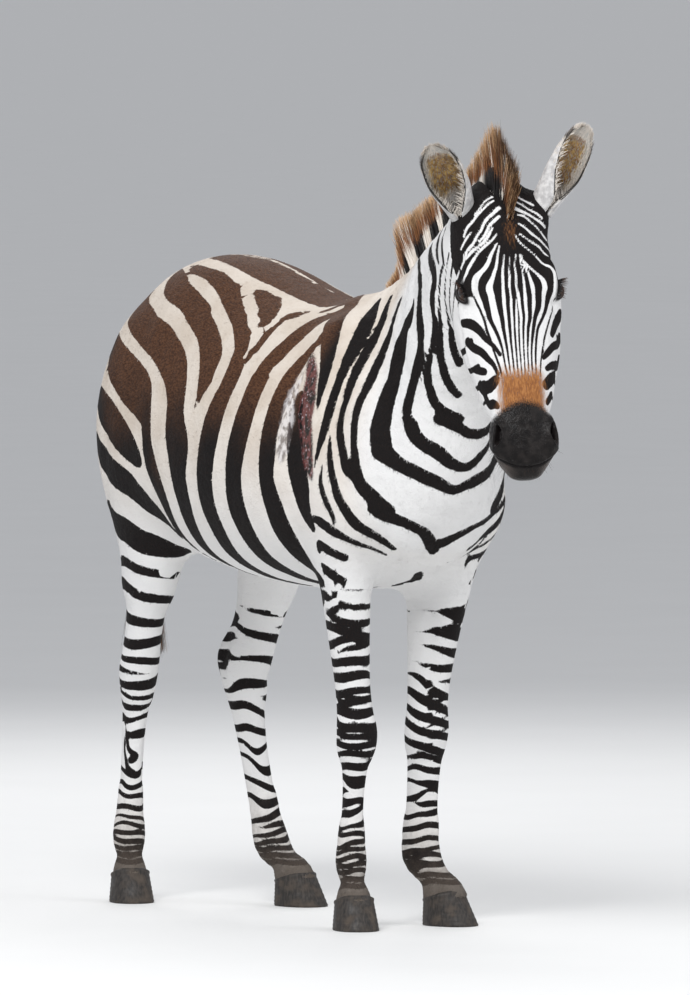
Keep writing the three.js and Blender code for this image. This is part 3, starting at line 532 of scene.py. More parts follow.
# Light stripes laid over the dark ones of the back: on the top chart, and on the side chart.
PALE_TOP = table_of("""
    -298,-64,10 -235,-63,18 -155,-73,20 -108,-80,22 -72,-84,24 -18,-80,24 20,-72,20 70,-73,20 112,-70,18
    145,-67,14 172,-60,8; -48,-90,18 -18,-104,20 22,-118,26 48,-126,26 66,-138,22 84,-150,12
""")
PALE_SPINE = [(-215, 22, 8), (-100, 21, 11), (0, 20, 12), (150, 18, 10), (270, 12, 6)]
PALE_SIDE = table_of("""
    -230,1222,18 -165,1207,28 -90,1180,24 -65,1162,24 -10,1137,28 40,1105,32 58,1077,36 57,1048,38
    52,1024,32 30,998,28 12,976,22; -375,1225,20 -355,1200,30 -345,1183,30 -268,1162,36 -198,1146,36
    -148,1124,34 -98,1101,36 -67,1078,40 -50,1055,42 -40,1032,42 -30,1000,38 -28,972,30; 118,1080,10
    128,1105,14 122,1125,16 138,1148,16 134,1166,16 142,1177,12; 160,1060,30 170,1094,32 177,1112,32
    185,1131,28 192,1151,24 200,1168,20 212,1177,12; 229,1052,28 250,1075,26 272,1097,24 282,1116,20
    298,1135,14
""")
SHOULDER_TOP = [(250, -6, 10), (275, -30, 34), (300, -62, 42)]
CHEST = table_of("""
    -135,805,20 -120,794,22 -100,785,21 -80,776,21 -60,767,19 -45,760,20 -30,748,22 -16,735,24 -5,724,20
    -3,716,8; 0,735,22 14,741,22 28,748,18 45,757,16 68,768,13 97,777,14 117,787,13 145,799,12 170,818,12;
    -128,913,32 -117,903,30 -101,888,26 -83,876,25 -71,868,24 -53,860,24 -38,852,22 -24,845,20 -7,840,18
    7,844,18 22,850,21 42,858,24 62,865,24 80,874,24 95,886,26 117,903,28; -92,963,28 -88,948,27
    -76,930,25 -62,920,25 -47,910,25 -33,898,23 -18,889,20 -2,883,17 14,884,17 28,892,17 42,904,17
    58,916,15 75,935,16 88,955,18; -54,976,22 -36,968,21 -13,957,19 5,948,18 26,946,18 48,949,16
    70,962,14; 128,745,6 112,728,9 100,715,6 105,700,7 102,680,5; 140,700,8 133,688,6; 0,680,10 12,672,20
    20,662,18 5,650,14 -10,642,8; 128,655,10 145,658,8; 92,628,7 128,625,14; 78,602,10 105,595,24
    125,590,30; 78,560,12 100,563,24 118,560,26
""")
HOCK_LINES = table_of("""
    -437,345,6 -436,321,8 -433,301,9 -423,285,12 -417,275,12; -443,330,5 -447,303,7 -443,284,8 -437,264,10
    -428,249,16
""")
# Bands round a leg: heights at the outer edge, the middle and the inner edge, then their widths there.
BANDS = {
    "fore_right": """
        638,642,648,20,10,1 613,612,617,-4,15,8 609,584,590,14,16,10 578,571,571,17,12,-4
        541,555,555,17,15,17 520,537,549,-3,11,14 509,511,516,16,17,19 478,484,484,17,18,12
        448,454,460,17,14,12 421,437,438,18,14,15 419,413,415,18,20,14 396,384,392,15,16,13
        376,370,373,11,12,10 356,351,356,14,13,14 334,336,336,11,12,15 312,311,315,14,15,18
        290,282,282,12,23,18 264,262,262,14,-4,-4 240,245,243,18,12,14 219,225,235,12,12,8
        193,197,207,8,7,14 180,183,182,8,8,10 155,165,170,7,9,7 145,153,155,7,8,6 129,139,138,8,9,8
        117,125,125,8,8,8 107,113,112,8,8,8 92,97,97,9,9,9 80,85,85,8,8,8
    """,
    "fore_left": """
        660,660,660,-4,-3,10 628,628,622,-4,4,15 598,598,589,3,5,20 561,561,555,-4,14,26
        534,530,518,2,9,20 502,494,489,2,12,16 470,468,465,-4,-2,12 480,456,432,6,18,12
        446,427,407,14,20,16 415,396,383,12,17,14 389,370,358,14,16,14 356,340,328,14,16,15
        318,322,312,9,12,12 298,299,290,9,12,14 274,270,261,8,11,24 237,251,258,10,10,-4
        231,231,229,-4,9,9 205,210,216,9,9,11 178,188,187,9,10,10 154,163,163,9,9,8 132,142,145,14,9,7
        125,132,132,4,8,8 111,116,116,20,12,10 95,96,97,8,8,8 80,84,84,8,8,8
    """,
    "hind_right": """
        669,652,637,20,17,13 625,602,592,24,18,15 565,549,557,22,18,14 511,508,518,16,20,16
        484,473,478,8,14,12 458,451,451,12,6,-4 436,423,443,14,18,24 414,401,406,10,9,12
        391,379,396,14,12,8 359,358,369,17,9,14 334,327,334,-4,16,14 261,248,263,8,12,14 234,225,231,8,9,9
        214,207,209,8,8,10 187,185,183,9,9,10 166,168,158,4,6,7 149,154,143,5,7,8 134,137,131,8,8,8
        124,119,117,9,9,9 106,106,106,8,8,8 93,93,93,9,9,9 80,80,80,8,8,8
    """,
    "hind_left": """
        610,608,603,-4,3,8 584,568,565,-2,8,16 555,555,555,24,-6,-6 537,537,537,-6,-6,12
        540,526,506,10,14,18 514,514,514,18,-6,-6 478,478,478,18,-6,-6 461,476,461,10,10,20
        453,453,453,11,-6,-6 436,436,436,6,-6,-6 409,423,423,8,20,9 397,397,397,-6,-4,16
        381,379,361,16,16,14 338,336,328,14,15,13 313,294,311,10,13,8 288,261,261,8,15,16
        243,228,223,9,12,12 208,194,201,9,15,10 158,168,178,8,11,12 151,151,158,-3,7,8 129,137,143,5,8,8
        117,122,131,6,8,9 106,109,114,8,8,8 95,97,100,8,8,8 83,85,88,8,8,8
    """,
}
# The rump's stripes run on round to the rear from these ends: x, z, width.
RUMP_ENDS = ((-470, 1100, 30), (-470, 985, 38), (-470, 900, 34), (-430, 770, 34), (-440, 1040, 10))
DOCK_BARS = 5  # short bars across the dock
# How much wider each set is made than its rows say; flank and neck have a share low down and a share high up.
FLANK_SWELL, NECK_SWELL = (1.26, 1.0), (0.98, 1.12)
CHEST_SWELL, HOCK_SWELL, NOSE_SWELL, FACE_SWELL, BROW_SWELL = 1.12, 1.2, 1.12, 1.8, 1.1
FACE_DOWN = (180, 200, 220, 240, 260, 280, 300, 320, 340)  # where each nose line's place is given
NOSE_WIDTHS_AT = (180, 240, 300, 340)
NOSE_LINES = [  # each line's places down the nose, and its widths
    ((-74, -70, -63, -58, -55, -50, -46, -41, -37), (4, 5, 4, 4)),
    ((-57, -54, -51, -48, -41, -35, -31, -29, -27), (15, 8, 4, 3)),
    ((-30, -30, -29, -27, -26, -24, -22, -21, -20), (14, 8, 4, 3)),
    ((-14, -13, -14, -14, -14, -14, -13.5, -13, -12.5), (8, 6, 4, 3)),
    ((-1, -1, -3, -4, -5, -5.5, -5.5, -5.5, -5.5), (8, 4, 3.5, 3)),
    ((4, 4, 4, 4.5, 3, 2, 1.5, 1.5, 1.5), (0.5, 3.5, 3, 3)),
    ((14, 13.5, 13.5, 14, 11.5, 10, 9, 8.5, 8), (7, 5, 3, 3)),
    ((28, 28.5, 27, 26, 21, 18.5, 16.5, 15.5, 15), (11, 7, 3, 3)),
    ((48, 46.5, 44, 36, 31, 27, 24, 22.5, 22), (17, 8, 3.5, 3)),
    ((72, 66, 60, 51, 40, 35, 32, 30, 29), (13, 6, 4, 3)),
    ((84, 80, 74, 66, 58, 51, 46, 41, 38), (3, 4, 4, 3)),
]
# The forehead is dark, and these are its light lines: left, down, width.
BROW_LINES = table_of("""
    10,84,3 20,99,4 41,115,4 57,129,5 70,138,6 82,152,9 84,168,10 83,184,10 80,200,9; 20,82,4 40,94,4
    58,102,5 71,113,5 84,126,6 93,134,6 98,146,6; 20,62,4 32,69,4 45,79,5 60,86,5 73,94,5 88,101,6
    98,116,6 102,132,6; 20,43,4 35,47,5 46,55,5 57,62,5 66,70,5 77,78,5 90,84,6 100,98,6; 17,30,9 29,35,7
    43,39,6 56,45,5 68,51,5 77,57,5; 18,13,4 31,19,5 45,27,5 59,33,5 72,42,5; 18,-3,5 30,3,5 44,10,5
    56,17,5; 16,121,3 27,137,4 38,148,5 50,158,6 58,167,8 61,182,9 56,200,9; 15,120,2 17.5,140,3 20,160,4
    20,180,5 20,200,6; 19,120,3 24,140,4 31,160,5 36,180,8 37,200,9; 9,120,2 5.5,140,3 6,160,4 5,180,4
    7,200,4; -1.5,120,2 -5,140,3 -6,160,4 -8,180,4 -7,200,4; -13,120,2.5 -16.5,140,4 -19,160,5 -20,180,5
    -21,200,5; -21,104,3 -25,120,4 -29,140,5 -37,160,7 -45,180,12 -41,200,10; -25,98,3 -31,108,4 -38,120,6
    -42,130,7 -49,140,8 -58,148,9 -68,160,12 -71,180,11 -65,200,9; -24,81,3 -34,92,4 -46,100,5 -57,108,5
    -66,118,6 -75,131,6 -84,147,7 -90,160,8; -31,69,3 -39,82,5 -49,93,5 -59,99,5 -69,104,6 -79,114,6
    -87,127,6 -92,137,6; -15,30,8 -29,42,6 -40,51,6 -47,61,5 -52,71,5 -59,79,5 -66,90,6 -73,96,6
    -82,106,5; -17,48,6 -28,57,6 -37,65,5 -42,74,5 -49,84,4 -57,90,4; -22,12,5 -34,20,5 -45,30,5 -55,39,6
    -64,49,6 -73,57,6 -79,70,5; -22,2,5 -37,11,4 -48,24,4 -58,35,4; -68,69,4 -76,77,5 -85,92,5
""")
FACE_LINES = table_of("""
    -95,232,9 -80,238,11 -68,255,9 -58,275,6 -46,290,5 -36,308,4; -92,268,10 -80,281,10 -68,295,9
    -57,312,7 -48,326,5 -42,345,4; -82,318,4 -72,327,9 -64,333,8; -80,350,6 -70,357,13 -58,362,14
    -46,352,10; -75,375,8 -62,393,10 -52,395,10 -46,402,6; 92,222,10 85,236,12 76,252,11 68,270,7;
    88,265,10 82,280,10 70,290,9 58,303,8 46,316,5; 84,305,9 78,320,11 64,327,9 52,335,6; 68,345,12
    60,353,14 48,366,12; 58,383,10 48,398,8
""")
# Cheek bands on the sides of the head: down, out from the forehead, width.
CHEEK_LINES = table_of("""
    232,-30,10 236,-70,13 228,-110,14 210,-150,12 195,-180,8; 268,-34,10 274,-70,12 268,-110,13
    250,-140,10; 318,-34,9 318,-64,12 306,-100,10; 352,-34,12 352,-64,10 342,-90,6; 150,-40,8 150,-70,13
    140,-110,16 128,-150,16 120,-190,12; 122,-40,8 115,-80,14 100,-120,16 84,-165,16; 186,-66,8
    190,-100,14 176,-140,14 160,-185,12; 88,-50,8 76,-80,12 60,-120,14 45,-150,12; 384,-44,8 384,-66,6
""")


class Caster:
    """Finds where a spot of a chart lies on the skin."""

    def __init__(self, points, faces):
        self.tree = BVHTree.FromPolygons([tuple(p) for p in points], faces)

    def cast(self, start, toward):
        hit = self.tree.ray_cast(Vector(start), Vector(toward), 900)[0]
        return None if hit is None else np.array(hit)

    def nearest(self, point):
        return np.array(self.tree.find_nearest(Vector(point))[0])

    def at(self, start, toward, near):
        """Where a ray meets the skin, or the spot of the skin nearest to `near` if it misses."""
        hit = self.cast(start, toward)
        return self.nearest(near) if hit is None else hit

    def beside(self, x, z, side):
        """None where the side of the animal has no skin."""
        return self.cast((x, side * 600, z), (0, -side, 0))

    def side(self, x, z, side):
        return self.at((x, side * 600, z), (0, -side, 0), (x, side * 150, z))

    def front(self, y, z):
        return self.at((780, y, z), (-1, 0, 0), (450, y, z))

    def rear(self, y, z):
        return self.at((-900, y, z), (1, 0, 0), (-500, y, z))

    def top(self, x, y):
        return self.at((x, y, 1700), (0, 0, -1), (x, y, 1200))

    def head(self, left, down):
        hit = self.cast(on_head(down, left, 200), -HEAD_OUT)
        missed = hit is None or in_head(hit)[2] < -90
        return self.nearest(on_head(down, left, -40)) if missed else hit

    def cheek(self, down, out, side):
        return self.at(on_head(down, side * 260, out), -side * HEAD_LEFT, on_head(down, side * 80, out))


def sampled(spots, widths):
    """Points along a stroke on the skin, close together, with half its width at each."""
    rows = smooth_rows(np.column_stack([spots, widths]), 12)
    made = [rows[0]]
    for row in rows[1:]:
        if np.linalg.norm(row[:3] - made[-1][:3]) >= min(max(row[3] * 0.25, 1.2), 7):
            made.append(row)
    return np.array(made)


def laid(place, rows, swell=1.0):
    """A stroke through rows of two chart coordinates and a width, put on the skin by `place`."""
    return sampled([place(a, b) for a, b, w in rows], [w * swell for a, b, w in rows])


def unbroken(spots, rows):
    """The stroke in pieces, parted where the skin turns away between two of its spots."""
    made, start = [], 0
    for k in range(1, len(rows) + 1):
        if k < len(rows):
            flat = math.dist(rows[k][:2], rows[k - 1][:2])
            known = spots[k] is not None and spots[k - 1] is not None
            if known and np.linalg.norm(spots[k] - spots[k - 1]) < 2.3 * flat + 18:
                continue
        if k - start > 1 and spots[start] is not None:
            made.append(sampled(spots[start:k], [row[2] for row in rows[start:k]]))
        start = k
    return made


def side_strokes(skin, rows_of, rng):
    made = []
    for rows in rows_of:
        made += unbroken([skin.beside(x, z, RIGHT) for x, z, w in rows], rows)
        dx, dz, more = rng.uniform(-7, 7), rng.uniform(-8, 8), rng.uniform(0.92, 1.08)
        rows = [(x + dx, z + dz, w * more) for x, z, w in rows]
        made += unbroken([skin.beside(x, z, LEFT) for x, z, w in rows], rows)
    return made


def widened(rows_of, low, high):
    """The strokes with their widths swollen, by one share low on the flank and by another on the back."""
    return [[(x, z, w * float(mix(low, high, step_between(980, 1130, z)))) for x, z, w in rows]
            for rows in rows_of]


def pale_strokes(skin):
    made = side_strokes(skin, PALE_SIDE, np.random.RandomState(SEED + 9))
    for side in (LEFT, RIGHT):
        made += [laid(lambda x, y: skin.top(x, y * -side), rows) for rows in PALE_TOP]
    return np.vstack([*made, laid(skin.top, PALE_SPINE)])


def body_strokes(skin):
    lines = widened(FLANK, *FLANK_SWELL) + widened(NECK_LINES, *NECK_SWELL)
    made = side_strokes(skin, lines, np.random.RandomState(SEED))
    made += [laid(lambda x, z: skin.side(x, z, RIGHT), rows, HOCK_SWELL) for rows in HOCK_LINES]
    made += [laid(skin.front, rows, CHEST_SWELL) for rows in CHEST]
    for side in (LEFT, RIGHT):
        made += [laid(lambda x, y: skin.top(x, y * -side), rows) for rows in (BACK_LINE, SHOULDER_TOP)]
        for x, z, w in RUMP_ENDS:
            spots = [skin.side(x, z, side), skin.rear(side * 130, z - 5), skin.rear(side * 80, z - 15),
                     skin.rear(side * 45, z - 22)]
            made.append(sampled(spots, [w, w * 0.9, w * 0.6, 2]))
    made.append(laid(skin.top, SPINE))
    for bar in range(DOCK_BARS):
        z = 1090 - 52 * bar
        for side in (LEFT, RIGHT):
            made.append(sampled([skin.rear(side * 24, z + 6), skin.rear(side * 14, z)], [14, 10]))
    return np.vstack(made)


def face_strokes(skin):
    made = []
    for places, widths in NOSE_LINES:
        wide = np.interp(FACE_DOWN, NOSE_WIDTHS_AT, widths) * NOSE_SWELL
        made.append(laid(skin.head, [*zip(places, FACE_DOWN, wide), (places[-1] * 0.93, 362, 2)]))
    made += [laid(skin.head, rows, FACE_SWELL) for rows in FACE_LINES]
    for side in (LEFT, RIGHT):
        made += [laid(lambda d, o: skin.cheek(d, o, side), rows) for rows in CHEEK_LINES]
    return np.vstack(made)


def brow_strokes(skin):
    return np.vstack([laid(skin.head, rows, BROW_SWELL) for rows in BROW_LINES])


def to_strokes(points, strokes):
    """Signed distance to the nearest stroke's edge, negative inside it."""
    least = np.full(len(points), FAR)
    spots, half = strokes[:, :3], strokes[:, 3] / 2
    for k in range(0, len(points), 4000):
        p = points[k:k + 4000]
        gap = (p ** 2).sum(1)[:, None] + (spots ** 2).sum(1)[None] - 2 * p @ spots.T
        least[k:k + 4000] = (np.sqrt(np.maximum(gap, 0)) - half).min(1)
    return least


def leg_axis(leg):
    toe = toe_of(leg)
    sole = vec(*leg["sole"], 0)
    high = vec(380, leg["side"] * 110, 760) if leg["fore"] else vec(-340, leg["side"] * 125, 760)
    line = [high, vec(*leg["knee"]), vec(*leg["fetlock"]), sole - 20 * toe + vec(0, 0, CORONET), sole]
    return np.array(line)


def round_leg(points, leg):
    """Distance from a leg's middle line, and the angle round it from the side that faces the camera."""
    line = leg_axis(leg)[::-1]
    z = points[:, 2]
    x, y = np.interp(z, line[:, 2], line[:, 0]), np.interp(z, line[:, 2], line[:, 1])
    dx, dy = points[:, 0] - x, points[:, 1] - y
    return np.hypot(dx, dy), np.arctan2(dx * -VIEW_Y + dy * VIEW_X, dx * VIEW_X + dy * VIEW_Y)


def to_bands(points):
    least = np.full(len(points), FAR)
    for name, leg in LEGS.items():
        away, turn = round_leg(points, leg)
        reach = np.interp(points[:, 2], [0, 150, 450, 560, 680], [95, 75, 85, 88, 88])
        here = np.nonzero((away < reach) & (points[:, 2] < 700))[0]
        z, c, s, c2 = points[here, 2], np.cos(turn[here]), np.sin(turn[here]), np.cos(2 * turn[here])
        share = 0.62 - 0.1 * step_between(180, 320, z)
        rows = [[float(v) for v in row.split(",")] for row in BANDS[name].split()]
        if name == "hind_right":
            rows += [(302, 300, 290, -4, -4, -4)]
        for left, middle, right, *wide in rows:
            def along(l, m, r):
                back = (l + r) / 2
                level = (m + back + l + r) / 4
                return level + (m - back) / 2 * c + (r - l) / 2 * s + (m + back - l - r) / 4 * c2
            wave = 1.6 * np.sin(turn[here] * 3 + middle)
            gap = np.abs(z - along(left, middle, right) - wave) - along(*wide) * share
            least[here] = np.minimum(least[here], gap)
    return least


# ---------------------------------------------------------------- the eyes' lids, nostrils and mouth
def eye_axes(side):
    """Along the lids from the inner corner back, across them upward, and outward."""
    out = eye_looks(side)
    along = unit(-HEAD_DOWN - 0.35 * HEAD_OUT)
    along = unit(along - (along @ out) * out)
    up = np.cross(out, along) * side
    up = up if up @ HEAD_OUT > 0 else -up
    return along, up, out


def on_eye(side, off, turn, radius):
    """A spot so far off the way an eye looks, turned from its back corner towards its upper lid."""
    along, up, out = eye_axes(side)
    tangent = math.cos(turn) * along + math.sin(turn) * up
    return eye_centre(side) + radius * (math.cos(off) * out + math.sin(off) * tangent)


def lid_edge(angle):
    """Half the opening between the lids, as an angle at the eye's middle, towards each direction."""
    c, s = np.cos(angle), np.sin(angle)
    wide, high = 0.98, np.where(s > 0, 0.52, 0.40)
    return 1 / np.sqrt((c / wide) ** 2 + (s / high) ** 2)


def shape_lids(points):
    """Draws the skin round each eye: sunk behind the ball, up over its edge, with a crease above and below."""
    made = points.copy()
    for side in (LEFT, RIGHT):
        centre = eye_centre(side)
        along, up, out = eye_axes(side)
        q = points - centre
        near = np.nonzero((np.linalg.norm(q, axis=1) < 75) & (q @ out > 2))[0]
        q = q[near]
        far = np.linalg.norm(q, axis=1)
        a, b, c = q @ along, q @ up, q @ out
        off = np.arctan2(np.hypot(a, b), c)
        angle = np.arctan2(b, a)
        edge = lid_edge(angle)
        rise = np.sin(angle)
        past = (off - edge) * EYE_RADIUS
        lid = EYE_RADIUS + np.where(rise > 0, 3.4, 2.6) * step_between(-0.6, 2.6, past)
        lid = np.where(past < -0.6, EYE_RADIUS - 3.5, lid)
        lid += 1.6 * hump((past - 5) / 3) * np.where(rise > 0, 1, 0.6)
        fold = hump((past - 12) / 2) * np.where(rise > 0, 2.6, 1.6) * np.abs(rise) ** 0.5
        fold += 1.2 * hump((past - 19) / 2.4) * (rise < 0)
        blend = step_between(2, 17, past)
        made[near] = centre + q / far[:, None] * (mix(lid, np.maximum(far, lid), blend) - fold)[:, None]
    return made


def nostril_place(points, side):
    """How deep and how far along a spot is in a nostril."""
    d, left, out = in_head(points)
    along = unit(vec(0.84, side * -0.25, -0.45))
    deep = unit(vec(0.22, side * 0.60, 0.76))
    along = unit(along - (along @ deep) * deep)
    across = np.cross(deep, along) * side
    q = np.stack([d - NOSTRIL[0], left - side * NOSTRIL[1], out - NOSTRIL[2]], 1)
    a, b, c = q @ along, q @ across, q @ deep
    bent = b - 0.014 * (a + 4) ** 2 + 3
    return np.hypot(a / 20, bent / np.interp(a, [-20, 0, 18], [4.5, 7.5, 9])), c, deep


def mouth_line(points):
    """Signed distance past the line between the lips, and how open it is there."""
    d, left, out = in_head(points)
    return 0.69 * (d - 508 + 0.005 * left ** 2) - 0.72 * (out + 42), step_between(432, 450, d)


def head_direction(v):
    return v[0] * HEAD_DOWN + v[1] * HEAD_LEFT + v[2] * HEAD_OUT


def shape_muzzle(points, facing):
    made = points.copy()
    for side in (LEFT, RIGHT):
        near_it, deep_in, deep = nostril_place(points, side)
        here = (deep_in > -16) & (np.linalg.norm(points - on_side(NOSTRIL, side), axis=1) < 50)
        push = 17 * (1 - step_between(0.55, 1.08, near_it))
        rim = 2.6 * hump((near_it - 1.35) / 0.28)
        made += (here * (rim - push))[:, None] * head_direction(deep)
    past, open_there = mouth_line(points)
    groove = 4.2 * hump(past / 2.3) - 1.6 * hump((past + 6) / 4)
    groove += 1.6 * step_between(0, 6, past) * hump(past / 26)
    d, left, out = in_head(points)
    here = (d > 405) & (np.abs(left) < 90)
    made -= (here * open_there * groove)[:, None] * facing
    narrow = 0.12 * step_between(478, 540, d) * step_between(-20, 20, past) * here
    made -= (narrow * left)[:, None] * HEAD_LEFT
    crease = hump((d - 446 + 0.25 * np.abs(left)) / 2.4) * (np.abs(left) < 40) * (out > -40)
    made -= (here * crease)[:, None] * facing
    return made


def flesh_folds(points, facing):
    """Shallow relief of muscle, joints and skin over the even flesh."""
    x, y, z = points.T
    side = np.abs(y)
    trunk = step_between(560, 700, z) * (x < 640)
    ribs = 1.1 * np.sin((x + 0.22 * z) / 17.5) * hump((x - 40) / 150) * hump((z - 900) / 130) * trunk
    flank = -5 * hump((x + 205) / 34, (z - 745 - 0.55 * (x + 205)) / 60) * (side > 60)
    elbow = -5 * hump((x - 318) / 20, (z - 742) / 60) * (side > 60)
    blade = -3.5 * hump((x - 470 + 0.35 * (z - 900)) / 24) * hump((z - 930) / 130) * (side > 50)
    hip = 4.5 * hump((x + 250) / 42, (z - 1130) / 46) * (side > 90)
    thigh = -3.5 * hump((x + 420 - 0.25 * (z - 800)) / 18) * hump((z - 860) / 120) * (side > 60)
    wrinkle = 1.3 * np.sin((x * 0.82 + z * 0.35) / 8.5) * hump((x - 585) / 80) * hump((z - 1180) / 130)
    groove = -4 * hump((z - 1085 - 0.72 * (x - 560)) / 26) * (x > 430) * (x < 800) * (side > 20)
    body = ribs + flank + elbow + blade + hip + thigh + wrinkle + groove
    d, left, out = in_head(points)
    side = np.abs(left)
    begins = step_between(205, 240, d)
    bone = 2.8 * hump((out + 52 + 0.12 * (d - 260)) / 7) * begins * (1 - step_between(300, 350, d))
    under = -2.6 * hump((out + 72 + 0.12 * (d - 260)) / 9) * begins * (1 - step_between(330, 380, d))
    pit = -4 * hump((d - 128) / 15, (side - 70) / 11) * (out > -40)
    jaw = 2.2 * np.sin(d / 30) * hump((out + 120) / 40) * (d < 330)
    bridge = 1.4 * hump((side - 33) / 7) * step_between(220, 250, d) \
        * (1 - step_between(370, 410, d)) * (out > -30)
    chin = 0.8 * np.sin(d / 3.4) * hump((d - 440) / 24) * (out < -78)
    head = (d > 30) & (side < 130) & (out > -215)
    push = np.where(head, bone + under + pit + jaw + bridge + chin, body)
    for leg in LEGS.values():
        away, turn = round_leg(points, leg)
        above, front = z - leg["knee"][2], np.cos(turn + 0.5)
        beside = hump((np.abs(np.degrees(turn) + 30) - 115) / 18)
        tendon = 2.4 * beside * np.interp(z, [150, 185, 300, 345], [0, 1, 1, 0])
        cap = 1.6 * np.cos(np.clip(above / 40, -1, 1) * math.pi / 2) * front ** 2 * (np.abs(above) < 40)
        ergot = 1.4 * hump((z - leg["fetlock"][2]) / 16) * front ** 4
        push = np.where((away < 90) & (z < 620), -tendon + cap + ergot, push)
    rise = 9 * hump((x + 156) / 215) * step_between(1160, 1225, z)
    return points + facing * push[:, None] + rise[:, None] * vec(0, 0, 1)


# ---------------------------------------------------------------- the skin
def fine_head(p):
    d, left, out = in_head(p)
    return (d > -30) & (d < 560) & (np.abs(left) < 135) & (out > -235) & (out < 60)


def fine_feet(p):
    return p[:, 2] < 600


def fine_neck(p):
    return (p[:, 0] > 375) & (p[:, 2] > 700)


def finer(p):
    d, _, out = in_head(p)
    face = fine_head(p) & ((d > -12) & (out > -84) | (d > 400))
    return face | (p[:, 2] < 305)


def finest(p):
    d, left, out = in_head(p)
    nose = (d > 205) & (d < 345) & (np.abs(left) < 46) & (out > -25)
    eyes = np.zeros(len(p), bool)
    for side in (LEFT, RIGHT):
        q = p - eye_centre(side)
        eyes |= (np.linalg.norm(q, axis=1) < 47) & (q @ eye_looks(side) > 0)
        eyes |= np.linalg.norm(p - on_head(458, side * 54, -26), axis=1) < 32
    past = mouth_line(p)[0]
    mouth = (np.abs(past) < 8) & (d > 425) & (d < 560) & (np.abs(left) < 90) & (out > -120)
    return nose | eyes | mouth


def build_skin_mesh():
    points, faces = net_of(flesh, NET_LOW, NET_HIGH, NET_CELL)
    for _ in range(2):
        here, slope = slope_of(flesh, points)
        steep = np.maximum((slope ** 2).sum(1), 0.04)
        move = np.clip((here + coat_depth(points)) / steep, -6, 6)
        points = points - slope * move[:, None]
    mesh = refined(points, faces, [lambda p: fine_head(p) | fine_feet(p) | fine_neck(p), finer, finest])
    for _ in range(2):
        points = coords(mesh)
        off = flesh(points) + coat_depth(points)
        set_coords(mesh, points - normals(mesh) * np.clip(off, -6, 6)[:, None])
    return mesh


def region_masks(points):
    """Where the coat is brown, dusty, dark-skinned and so on, each from 0 to 1."""
    x, y, z = points.T
    d, left, out = in_head(points)
    head, beside = of_head(points), np.abs(left)
    saddle = step_between(800, 1190, z + 0.05 * np.abs(y)) * step_between(-520, -380, x) \
        * (1 - step_between(300, 400, x))
    flank = 0.35 * step_between(-260, -150, x) * (1 - step_between(-150, -60, x)) \
        * step_between(760, 860, z) * (1 - step_between(940, 1010, z))
    nose = step_between(312, 366, d + 0.10 * beside) * (1 - step_between(28, 60, beside)) * (out > -60)
    patch = hump((left - 2) / 17, (d - 78) / 30) * (out > -20)
    edge = 402 + 0.0075 * left ** 2 + 0.10 * np.clip(-out - 40, 0, 80)
    dirt = 0.46 * (1 - step_between(90, 300, z)) + 0.58 * (1 - step_between(64, 125, z))
    past, open_there = mouth_line(points)
    bare = head * open_there * (d > 425) * (1 - step_between(0.8, 3.2, np.abs(past)))
    for side in (LEFT, RIGHT):
        close = np.linalg.norm(points - on_side(NOSTRIL, side), axis=1) < 50
        bare = np.maximum(bare, close * (1 - step_between(0.75, 1.1, nostril_place(points, side)[0])))
        along, up, look = eye_axes(side)
        q = points - eye_centre(side)
        a, b, c = q @ along, q @ up, q @ look
        off, angle = np.arctan2(np.hypot(a, b), c), np.arctan2(b, a)
        past_lid = (off - lid_edge(angle)) * EYE_RADIUS
        near = (np.linalg.norm(q, axis=1) < 70) & (c > 0)
        bare = np.maximum(bare, near * (1 - step_between(3.5, 8.5, past_lid)))
    return {
        "brown": np.where(head, 0, np.maximum(saddle, flank)),
        "chestnut": head * np.clip(nose + 0.42 * patch, 0, 1),
        "muzzle": head * step_between(-22, 16, d - edge),
        "dirt": dirt,
        "bare": np.clip(bare, 0, 1),
        "pale_lip": head * step_between(2, 8, past) * hump((beside - 42) / 17) * (d > 470),
        "belly": np.maximum(step_between(430, 540, x), 1 - step_between(640, 1000, z)) * (1 - dirt),
        "ragged": np.where(head, 0.34, mix(0.5, 1.0, step_between(420, 700, z))),
    }


def stripe_masks(points, strokes):
    """Distances in millimetres from the edges of the dark stripes, the wound and the scuff, negative inside."""
    d, left, out = in_head(points)
    mark = np.full(len(points), FAR)
    head = of_head(points) & ((left > 0) | (out > -64) | (d > 250))
    mark[~head] = np.minimum(to_strokes(points[~head], strokes["body"]), to_bands(points[~head]))
    mark[head] = to_strokes(points[head], strokes["face"])
    brow = (head | (np.abs(left) < 92) & (d > -62) & (out > -60)) & (d < 204)
    lower = np.maximum(step_between(180, 202, d), 1 - step_between(-84, -62, out))
    mark[brow] = mix(-to_strokes(points[brow], strokes["brow"]), mark[brow], lower[brow])
    back = (points[:, 2] > 900) & (points[:, 0] < 330)
    mark[back] = np.maximum(mark[back], -to_strokes(points[back], strokes["pale"]))
    wound, scuff = (to_strokes(points, strokes[name]) for name in ("wound", "scuff"))
    return {name: np.clip(gap, -60, 60) for name, gap in (("mark", mark), ("wound", wound), ("scuff", scuff))}


# ---------------------------------------------------------------- materials
def set_socket(tree, socket, value):
    if isinstance(value, bpy.types.NodeSocket):
        tree.links.new(value, socket)
    elif isinstance(value, (tuple, list)) and len(value) == 3 and socket.type == "RGBA":
        socket.default_value = (*value, 1)
    else:
        socket.default_value = value


def add_node(tree, kind, inputs=(), **settings):
    made = tree.nodes.new(kind)
    for key, value in settings.items():
        setattr(made, key, value)
    for key, value in dict(inputs).items():
        set_socket(tree, made.inputs[key], value)
    return made


